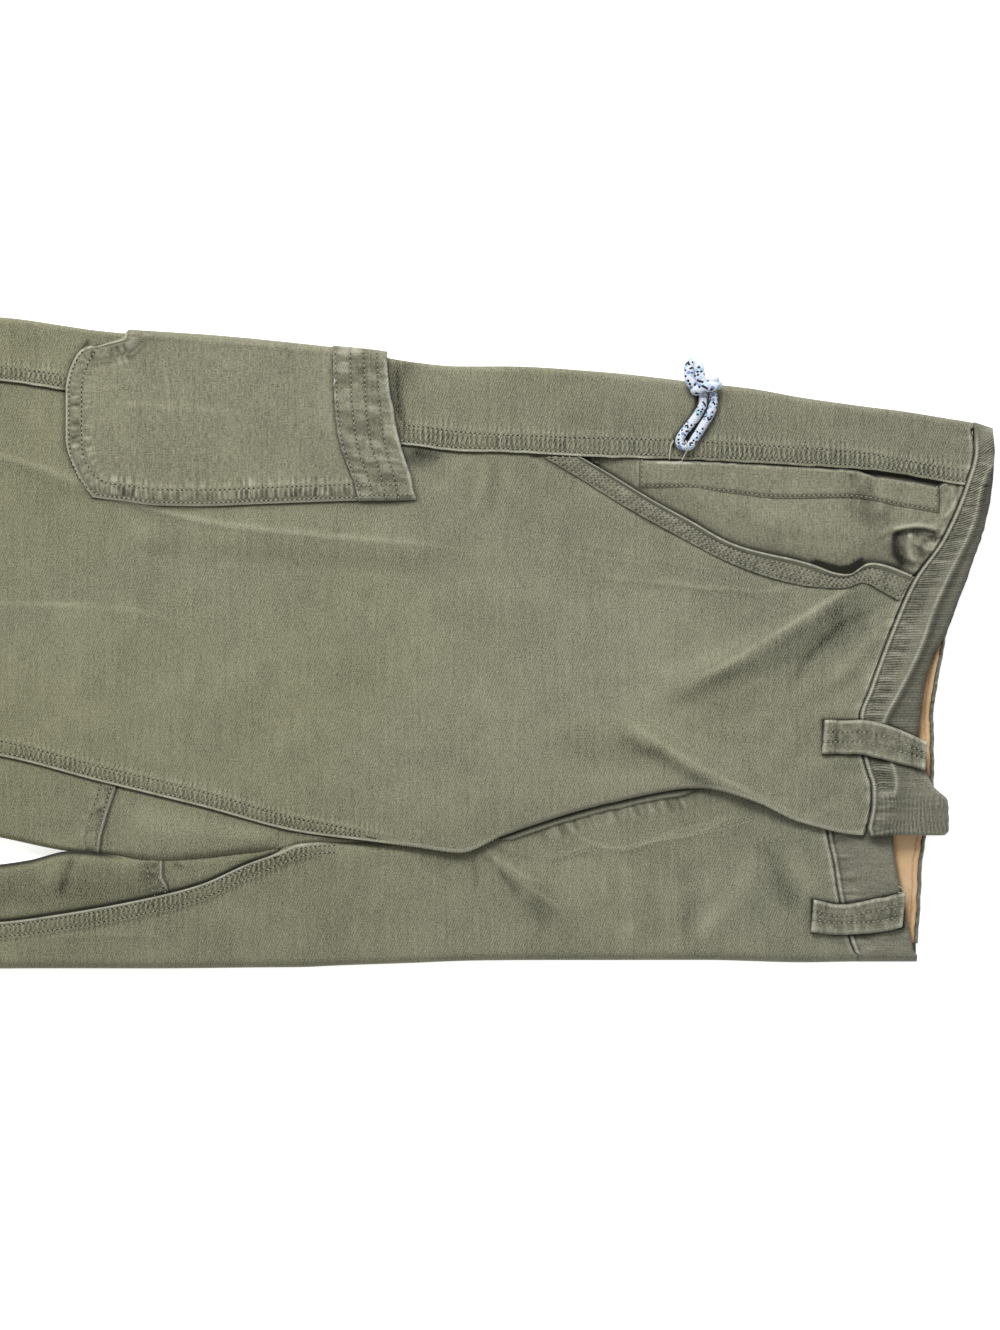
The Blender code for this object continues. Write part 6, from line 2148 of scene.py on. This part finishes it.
makeFlyShield()
makeZip()
makeButton()

# leg hems and the layers folded under

hemCut = {"wall": 1.6, "from": -576.0, "to": -550.35, "stitch": 3.0}


def makeHem(name, node, lowEdge, highEdge, heightAt, seed):
    cut = hemCut
    first = cut["from"] + np.array([0.0, 0.4, 1.0, 1.8])
    x0 = np.concatenate([first, np.linspace(cut["from"] + 3, cut["to"] - 0.85, 26), [cut["to"]]])
    height = heightAt(x0)
    radius = height / 2
    low = lowEdge(x0)
    high = highEdge(x0)
    toEnd = (x0 - cut["from"])[:, None]
    flat = np.linspace(0, 1, 90)[None, :]
    topY = mix((low + radius)[:, None], (high - radius)[:, None], flat)
    puff = 0.35 * waves(x0[:, None] / 9.0, topY / 4.0, seed)
    puff += 0.2 * waves(x0[:, None] / 4.0, topY / 1.8, seed + 1)
    stitch = bell(x0[:, None] - (cut["to"] - cut["stitch"]), 0.8)
    topZ = height[:, None] + puff - 0.4 * stitch
    upY, upZ = foldPoints(high, 0 * high, height, 1, 12)
    downY, downZ = foldPoints(low, 0 * low, height, -1, 12)
    lines = np.linspace(0, 1, 20)[None, :]
    underY = mix((high - radius)[:, None], (low + radius)[:, None], lines)
    underZ = np.zeros_like(underY)
    half = 10
    begin = (underY[:, half:], underZ[:, half:])
    end = (underY[:, : half + 1], underZ[:, : half + 1])
    y, z = welded(begin, (downY, downZ), (topY, topZ), (upY, upZ), end)
    x = np.repeat(x0[:, None], y.shape[1], 1)
    middle = (height / 2)[:, None]
    pull = 0.7 * fall(-0.3, 1.3, toEnd)
    z = np.maximum(middle + (z - middle) * (1 - pull / middle), 0.0)
    paleTint = 0.5 * bell(toEnd - 0.8, 1.0) + 0 * y
    paleTint = paleTint + 0.3 * unit(waves(x / 5.0, y / 2.0, seed + 2))
    # painted shade along the hem's stitch row and where it meets the leg
    dark = 0.4 * bell(x - (cut["to"] - cut["stitch"]), 0.9) + 0.6 * bell(x - cut["to"], 0.8)
    sew(name, [node], (x, y, z), cut["wall"], "seam", paleTint, dark)


layersCut = {
    "from": -548.0, "to": 478.0, "fine": 4.0, "inset": 4.9, "air": 2.45, "under": 3.6, "far": 22.0,
    "notch": 1.1,
}


def makeFoldedLayers():
    cut = layersCut
    air = cut["air"]
    x0 = alongLeg(cut["from"], cut["to"], cut["fine"])
    low = left("fold", x0) + cut["inset"]
    legHigh = left("inner", np.minimum(x0, stations["crotch"])) - cut["inset"]
    high = mix(legHigh, cut["far"], step(226, 330, x0))
    turns = np.linspace(0, 2 * np.pi, 73)
    rings = []
    for k, x in enumerate(x0):
        share = 0.5 + 0.5 * np.cos(turns)
        y = mix(low[k], high[k], share)
        top = np.full(len(y), float(left("height", x)) - air)
        ceiling = np.minimum(top, rightHeight(np.full(len(y), x), y) - cut["under"])
        ceiling = np.where(y > float(left("seam", x)), ceiling, top)
        middle = (ceiling + air) / 2
        half = (ceiling - air) / 2
        z = middle + half * np.sign(np.sin(turns)) * np.abs(np.sin(turns)) ** 0.25
        # three layers show along both sides
        side = np.abs(np.cos(turns)) ** 30
        notches = np.abs(np.sin((z - air) * 3 * np.pi / np.maximum(half * 2, 1)))
        y = y - np.sign(np.cos(turns)) * cut["notch"] * side * notches
        rings.append(np.stack([np.full(len(y), x), y, z], 1))
    rings = np.array(rings)[:, :-1]
    rows, columns, _ = rings.shape
    verts = (rings.reshape(-1, 3) * mm).tolist()
    # turned over, because these rings run the other way round
    faces = [(f[0], f[3], f[2], f[1]) if len(f) == 4 else f[::-1] for f in ringFaces(rows, columns)]
    piece = meshPiece("foldedLayers", verts, faces, finishes["leg"])
    layOut(piece.data, rings[:, :, :2].reshape(-1, 2) * mm)
    attach(piece, "canvas", "left_back_folded")


makeHem(
    "rightHem", "right_hem", lambda x: smoothLine(rightLow, x), lambda x: right("top", x),
    lambda x: right("side", x), 181,
)
makeHem(
    "leftHem", "left_hem", lambda x: left("fold", x), lambda x: left("inner", x),
    lambda x: left("height", x), 191,
)
makeFoldedLayers()
print("fly, hems and folded layers ready")

# pull cord and its knot

cordCut = {
    "width": 4.8, "knotSwell": 0.55, "segments": 20, "length": 0.0705, "exit": (0.4062, 0.1085, 0.0105),
    "apart": 37.0,  # mm of braid between two parts of the knot, so that their flecks differ
}
cordRoute = [
    (415.9, 135.6, 10.9), (415.7, 133.0, 10.85), (415.3, 128.0, 10.85), (412.7, 123.0, 10.85),
    (408.9, 117.9, 10.9), (405.2, 113.4, 11.0), (402.9, 109.3, 11.3), (402.9, 107.2, 11.4),
    (404.0, 105.7, 11.4), (406.0, 105.3, 11.4), (408.2, 105.7, 11.4), (409.8, 107.4, 11.4),
    (410.9, 109.3, 11.3), (413.2, 112.8, 11.0), (415.7, 117.0, 10.9), (418.9, 122.0, 10.85),
    (421.1, 127.5, 10.85), (421.2, 133.0, 10.85), (421.1, 135.6, 10.9),
]
knotRoutes = [
    # both ends drawn through as one loop
    [(417.4, 135.4, 11.6), (415.8, 139.0, 12.9), (414.0, 143.0, 13.0), (413.4, 147.6, 12.0),
     (412.8, 150.4, 10.8), (410.9, 151.6, 10.2), (408.8, 150.6, 10.4), (408.0, 147.6, 11.2),
     (408.2, 142.6, 12.2), (409.8, 139.4, 12.2), (412.8, 137.4, 11.2)],
    # turn round both strands
    [(413.6, 139.4, 10.6), (411.8, 137.6, 10.4), (411.6, 136.2, 12.4), (414.4, 136.9, 14.2),
     (418.0, 137.9, 14.8), (421.4, 138.2, 14.0), (423.2, 139.3, 12.4), (423.3, 141.2, 10.8)],
    # short end on the right
    [(417.6, 139.6, 12.2), (420.2, 141.2, 12.8), (422.2, 142.0, 12.0), (423.0, 141.0, 11.0)],
]


# a smooth curve through points, with a step about every gap mm
def throughPoints(points, gap):
    p = np.array(points, float)
    p = np.concatenate([[2 * p[0] - p[1]], p, [2 * p[-1] - p[-2]]])
    out = []
    for k in range(1, len(p) - 2):
        a, b, c, d = p[k - 1 : k + 3]
        count = max(int(np.linalg.norm(c - b) / gap), 2)
        for t in np.arange(count) / count:
            square = (2 * a - 5 * b + 4 * c - d) * t * t
            out.append(0.5 * (2 * b + (c - a) * t + square + (3 * b - a - 3 * c + d) * t**3))
    out.append(p[-2])
    return np.array(out)


# a tube along a line with round ends, its threads counted along it and round it
def tubeData(points, radius, segments):
    line = throughPoints(points, 0.45)
    ahead = np.gradient(line, axis=0)
    ahead /= np.linalg.norm(ahead, axis=1, keepdims=True)
    along = np.concatenate([[0.0], np.cumsum(np.linalg.norm(np.diff(line, axis=0), axis=1))])
    toEnd = np.minimum(along, along[-1] - along)
    sizes = np.minimum(1.0, np.sqrt(np.clip(1 - (1 - toEnd / radius) ** 2, 0.02, 1)))
    sizes = np.where(toEnd < radius, sizes, 1.0)
    side = np.cross(ahead[0], (0.0, 0.0, 1.0))
    side /= np.linalg.norm(side)
    verts = []
    for k in range(len(line)):
        side = side - ahead[k] * np.dot(side, ahead[k])
        side /= np.linalg.norm(side)
        up = np.cross(side, ahead[k])
        angles = np.linspace(0, 2 * np.pi, segments, endpoint=False) - np.pi / 2
        ring = np.cos(angles)[:, None] * side + np.sin(angles)[:, None] * up
        verts.append(line[k] + ring * radius * sizes[k])
    return np.array(verts), along


def tubePiece(name, routes, radius, finish):
    segments = cordCut["segments"]
    apart = cordCut["apart"]
    verts = []
    faces = []
    coords = []
    for number, route in enumerate(routes):
        rings, along = tubeData(route, radius, segments)
        faces += ringFaces(len(rings), segments, len(verts))
        verts += (rings.reshape(-1, 3) * mm).tolist()
        for i in range(len(rings) - 1):
            a = (along[i] + number * apart) * mm
            b = (along[i + 1] + number * apart) * mm
            for j in range(segments):
                low = j / segments
                high = (j + 1) / segments
                coords += [(a, low), (b, low), (b, high), (a, high)]
        begin = number * apart * mm
        coords += [(begin, 0.5)] * segments + [(along[-1] * mm + begin, 0.5)] * segments
    piece = meshPiece(name, verts, faces, finish)
    layer = piece.data.uv_layers.new(name="cloth")
    layer.data.foreach_set("uv", np.array(coords, np.float32).ravel())
    return piece


def makeCord():
    radius = cordCut["width"] / 2
    cord = tubePiece("pullCord", [cordRoute], radius, finishes["braid"])
    knot = tubePiece("pullKnot", knotRoutes, radius + cordCut["knotSwell"], finishes["braid"])
    attach(cord, "cord", "pull_cord")
    attach(knot, "cord", "pull_knot")


makeCord()
print("cord ready")

# stitches: rows of thread laid on the panels, with a dark dot of painted shade for the needle hole between
# each two

# finish, slot, pitch, length, width, height and wobble in mm, and seed
stitchKinds = {
    "seamThread": ("thread", "canvas", 2.6, 1.5, 0.75, 0.6, 0.12, 4),
    "needleHoleShades": ("hole", "canvas", 2.6, 1.3, 0.85, 0.5, 0.1, 5),
    "smallNeedleHoleShades": ("hole", "canvas", 2.6, 0.85, 0.6, 0.5, 0.1, 6),
    "liningThread": ("liningThread", "lining", 2.8, 1.9, 0.6, 0.5, 0.1, 9),
}
stitchSockets = ("Pitch", "Length", "Width", "Height", "Wobble")


def buildStitchTree():
    tree = bpy.data.node_groups.new("stitchRow", "GeometryNodeTree")
    face = tree.interface
    face.new_socket("Geometry", in_out="INPUT", socket_type="NodeSocketGeometry")
    for name in stitchSockets:
        face.new_socket(name, in_out="INPUT", socket_type="NodeSocketFloat")
    face.new_socket("Seed", in_out="INPUT", socket_type="NodeSocketInt")
    face.new_socket("Finish", in_out="INPUT", socket_type="NodeSocketMaterial")
    face.new_socket("Geometry", in_out="OUTPUT", socket_type="NodeSocketGeometry")

    def add(kind, inputs, **settings):
        return addNode(tree, kind, inputs, **settings).outputs

    def uneven(low, high):
        inputs = {0: low, 1: high, "Seed": given["Seed"]}
        return add("FunctionNodeRandomValue", inputs, data_type="FLOAT_VECTOR")[0]

    given = add("NodeGroupInput", {})
    inputs = {"Curve": given["Geometry"], "Length": given["Pitch"]}
    rows = add("GeometryNodeResampleCurve", inputs, mode="LENGTH")
    thread = add("GeometryNodeMeshUVSphere", {"Segments": 6, "Rings": 4, "Radius": 0.5})
    size = add("ShaderNodeCombineXYZ", {0: given["Length"], 1: given["Width"], 2: given["Height"]})
    shaped = add("GeometryNodeTransform", {"Geometry": thread["Mesh"], "Scale": size[0]})
    tangent = add("GeometryNodeInputTangent", {})[0]
    lean = uneven((-0.12, -0.12, -0.03), (0.12, 0.12, 0.03))
    ahead = add("ShaderNodeVectorMath", {0: tangent, 1: lean}, operation="ADD")[0]
    turned = add("FunctionNodeAlignRotationToVector", {"Vector": ahead}, axis="X", pivot_axis="AUTO")
    drift = uneven((-1.0, -1.0, -0.3), (1.0, 1.0, 0.3))
    shift = add("ShaderNodeVectorMath", {0: drift, "Scale": given["Wobble"]}, operation="SCALE")[0]
    moved = add("GeometryNodeSetPosition", {"Geometry": rows["Curve"], "Offset": shift})
    grown = uneven((0.8, 0.85, 0.8), (1.15, 1.15, 1.2))
    copies = add("GeometryNodeInstanceOnPoints", {
        "Points": moved["Geometry"], "Instance": shaped["Geometry"], "Rotation": turned["Rotation"],
        "Scale": grown,
    })
    real = add("GeometryNodeRealizeInstances", {"Geometry": copies["Instances"]})
    soft = add("GeometryNodeSetShadeSmooth", {"Geometry": real["Geometry"]})
    coated = add("GeometryNodeSetMaterial", {"Geometry": soft["Geometry"], "Material": given["Finish"]})
    add("NodeGroupOutput", {0: coated["Geometry"]})
    return tree


# lays a line of points on whichever of the panels is highest there
def dropOnto(points, panels, gap=1.5):
    line = []
    for (x0, y0), (x1, y1) in zip(points, points[1:]):
        count = max(int(math.hypot(x1 - x0, y1 - y0) / gap), 1)
        for k in range(count):
            line.append((x0 + (x1 - x0) * k / count, y0 + (y1 - y0) * k / count))
    line.append(points[-1])
    laid = []
    for x, y in line:
        best = None
        for panel in panels:
            hit, place, _, _ = made[panel].ray_cast(Vector((x * mm, y * mm, 0.06)), Vector((0, 0, -1)))
            if hit and (best is None or place.z > best):
                best = place.z
        if best is not None:
            laid.append((x * mm, y * mm, best))
    return laid


# a line shortened by cut at both ends
def trimmed(points, cut):
    def shorten(line):
        left = cut
        while len(line) > 2 and math.dist(line[0], line[1]) < left:
            left -= math.dist(line[0], line[1])
            line = line[1:]
        share = min(left / max(math.dist(line[0], line[1]), 1e-6), 0.95)
        start = (mix(line[0][0], line[1][0], share), mix(line[0][1], line[1][1], share))
        return [start, *line[1:]]

    return shorten(shorten(points)[::-1])[::-1]


def runStitchTree(name, tree, lines):
    finish, slot, *sizes, seed = stitchKinds[name]
    finish = finishes[finish]
    curve = bpy.data.curves.new(name + "Lines", "CURVE")
    curve.dimensions = "3D"
    for line in lines:
        if len(line) < 2:
            continue
        spline = curve.splines.new("POLY")
        spline.points.add(len(line) - 1)
        for point, place in zip(spline.points, line):
            point.co = (*place, 1.0)
    holder = placed(name + "Lines", curve)
    modifier = holder.modifiers.new("stitchRow", "NODES")
    modifier.node_group = tree
    sockets = {item.name: item.identifier for item in tree.interface.items_tree if item.in_out == "INPUT"}
    for key, size in zip(stitchSockets, sizes):
        modifier[sockets[key]] = size * mm
    modifier[sockets["Seed"]] = seed
    modifier[sockets["Finish"]] = finish
    bpy.context.view_layer.update()
    evaluated = holder.evaluated_get(bpy.context.evaluated_depsgraph_get())
    mesh = bpy.data.meshes.new_from_object(evaluated)
    holder.modifiers.remove(modifier)
    bpy.data.objects.remove(holder)
    if not mesh.materials:
        mesh.materials.append(finish)
    attach(placed(name, mesh), slot)


def ruled(first, last, yAt, gap=6.0):
    count = max(int((last - first) / gap), 2)
    return [(float(x), float(yAt(float(x)))) for x in np.linspace(first, last, count)]


# the line that runs away mm to the left of another
def besideLine(points, away):
    line = softened(points, 1)
    out = []
    for k, (x, y) in enumerate(line):
        a = line[max(k - 1, 0)]
        b = line[min(k + 1, len(line) - 1)]
        size = math.hypot(b[0] - a[0], b[1] - a[1])
        out.append((x - (b[1] - a[1]) / size * away, y + (b[0] - a[0]) / size * away))
    return out


def pocketBorder(away):
    low = [(x, float(pocketLow(x)) + away) for x in np.linspace(238, 82 + away * 0.6, 24)]
    corner = softened([low[-1], (72 + away * 0.9, 84 + away * 0.65), (66.3 + away, 97 + away * 0.2)], 2)[1:]
    up = [(float(smoothLine(pocketStartRows, y)) + away, y) for y in np.linspace(100 + away * 0.3, 160, 12)]
    return low + corner + up


# the fly's curved row and the bars beside it
flyRow = [
    (343, -118.2), (352, -114.6), (358, -115.2), (371, -116), (385, -110.5), (405, -107.7), (424, -103.9),
    (442, -98.5),
]
flyBars = [[(308, -109), (313, -121.5)], [(320.5, -105.5), (331.5, -121.5)], [(326, -104), (342, -121.5)]]


# felled seams: panel, seam, which side of it the strip lies on, the strip's width, and the runs that are sewn
felledSeams = [
    ("rightBack", lambda x: right("seam", x), 1, sideStripWidth, [(-548, 62), (250, 560)]),
    ("rightFront", lambda x: right("front", x), 1, rightFrontCut["inseam"], [(-548, 228)]),
    ("leftFront", lambda x: left("seam", x), -1, leftFrontCut["strip"], [(-548, 214)]),
]


# every row of stitches, with the panels that it lies on
def stitchLines():
    rows = []
    for away in (fell["firstRow"], None):
        for panel, seamAt, lean, strip, runs in felledSeams:

            def rowAt(x):
                return seamAt(x) + lean * (away or smoothLine(strip, x))

            for first, last in runs:
                rows.append(([panel], ruled(first, last, rowAt)))
    for away in (-2.1, -8.0):
        rows.append((["rightBackInner", "gussetRight"], besideLine(gussetSeams["right"], away)))
        rows.append((["leftBackInner", "gussetLeft"], besideLine(gussetSeams["left"], away)))
    for away in (1.8, 8.8):
        rows.append((["cargoPocket"], pocketBorder(away)))
    rows.append((["cargoPocketBand"], [(226.5, 83.8), (240.0, 84.2), (253.5, 84.6)]))
    rows.append((["cargoPocketBand"], [(228.5, 78.4), (254.5, 78.8)]))
    for share in bandCut["rows"]:
        line = []
        for y in np.linspace(77.5, 157.5, 20):
            start = float(smoothLine(pocketBandStart, y))
            here = mix(share[0], share[1], min((y - 76) / 82, 1.0))
            line.append((mix(start, float(smoothLine(pocketEndRows, y)) + 0.5, here), float(y)))
        rows.append((["cargoPocketBand"], line))
    upper = softened(scoopUpper, 2)
    lower = softened(scoopLower, 2)
    for share in scoopBandCut["rows"]:
        line = [(mix(a[0], b[0], share), mix(a[1], b[1], share)) for a, b in zip(upper, lower)]
        rows.append((["scoopBand"], line))
    rows.append((["slotWelt"], ruled(383, 544, lambda x: float(smoothLine(weltLine, x)) + 0.4)))
    rows.append((["slotWelt", "scoopFacing"], [(382, 98.0), (382, 84.6)]))
    rows.append((["slotWelt", "scoopFacing"], [(544.4, 83.0), (543.6, 71)]))
    rows.append((["rightBack"], [(303.8, 103.4), (303.6, 110.6)]))
    for table, name in ((loopRightRows, "rightLoop"), (loopLeftRows, "leftLoop")):
        first = table[0][0] + 1.5
        last = table[-1][0] - 1.5
        for away in (loopCut["row"], -loopCut["row"]):
            column = 2 if away > 0 else 1
            line = ruled(first, last, lambda x: float(smoothLine(table, x, column)) + away, 4.0)
            rows.append(([name], line))
        for x in (table[0][0] + 4.7, table[-1][0] - 4.7):
            low = float(smoothLine(table, x, 2)) + 2.6
            high = float(smoothLine(table, x, 1)) - 2.6
            rows.append(([name], [(x - 0.6, low), (x + 0.6, high)]))
    for away in (0.0, -2.0):
        rows.append((["leftFront"], besideLine(flyRow, away)))
    for line in flyBars:
        rows.append((["leftFront"], line))
    for node, low, high in (("rightHem", -54, 166), ("leftHem", -172, -123)):
        rows.append(([node], [(hemCut["to"] - hemCut["stitch"], y) for y in range(low, high, 6)]))
    return rows


def liningEdge(first, last):
    inward = backBandCut["stitchIn"]
    return [(float(smoothLine(waistRows, y, 3)) - inward, float(y)) for y in range(first, last, 4)]


def makeStitches():
    tree = buildStitchTree()
    halfPitch = stitchKinds["seamThread"][2] / 2
    threads = []
    holes = []
    small = []
    for panels, line in stitchLines():
        threads.append(dropOnto(line, panels))
        between = dropOnto(trimmed(line, halfPitch), panels)
        if panels[0] in ("scoopBand", "cargoPocketBand", "slotWelt"):
            small.append(between)
        elif panels[0] not in ("rightLoop", "leftLoop", "leftFront") or line[0][0] < 0:
            holes.append(between)
    lining = [dropOnto(liningEdge(*ends), ["bandLining"]) for ends in ((-167, -108), (-84, -2))]
    runStitchTree("seamThread", tree, threads)
    runStitchTree("needleHoleShades", tree, holes)
    runStitchTree("smallNeedleHoleShades", tree, small)
    runStitchTree("liningThread", tree, lining)


# thin loose threads: two of the slider's filament by the cord, three whiskers at the left belt loop, one on
# the thigh pocket and one at the slot pocket
whiskers = [
    ([(397.2, 97.9, 9.6), (397.5, 102.5, 10.3), (398.2, 106.4, 10.8), (399.6, 108.8, 10.4)], 0.4),
    ([(403.9, 97.4, 9.6), (405.6, 100.8, 11.2), (407.0, 103.8, 13.6), (406.3, 107.4, 13.0),
      (405.8, 109.0, 10.6)],
     0.4),
    ([(522.6, -136.2, 12.6), (525.0, -137.6, 13.4), (527.4, -141.2, 12.8)], 0.2),
    ([(524.6, -135.4, 12.4), (527.4, -136.4, 13.6), (529.4, -139.8, 12.6)], 0.2),
    ([(522.0, -139.4, 13.4), (526.0, -140.6, 13.8), (528.6, -144.2, 12.4)], 0.2),
    ([(212.2, 138.6, 12.2), (213.2, 140.5, 12.8), (213.0, 142.6, 12.2)], 0.45),
    ([(545.6, 82.0, 9.6), (547.6, 84.2, 10.4), (550.6, 84.6, 9.6)], 0.2),
]


def makeWhiskers():
    verts = []
    faces = []
    for route, radius in whiskers:
        rings = tubeData(route, radius, 8)[0][::2]
        faces += ringFaces(len(rings), 8, len(verts))
        verts += (rings.reshape(-1, 3) * mm).tolist()
    attach(meshPiece("looseThreads", verts, faces, finishes["whisker"]), "cord")


makeStitches()
makeWhiskers()
print("stitches ready")
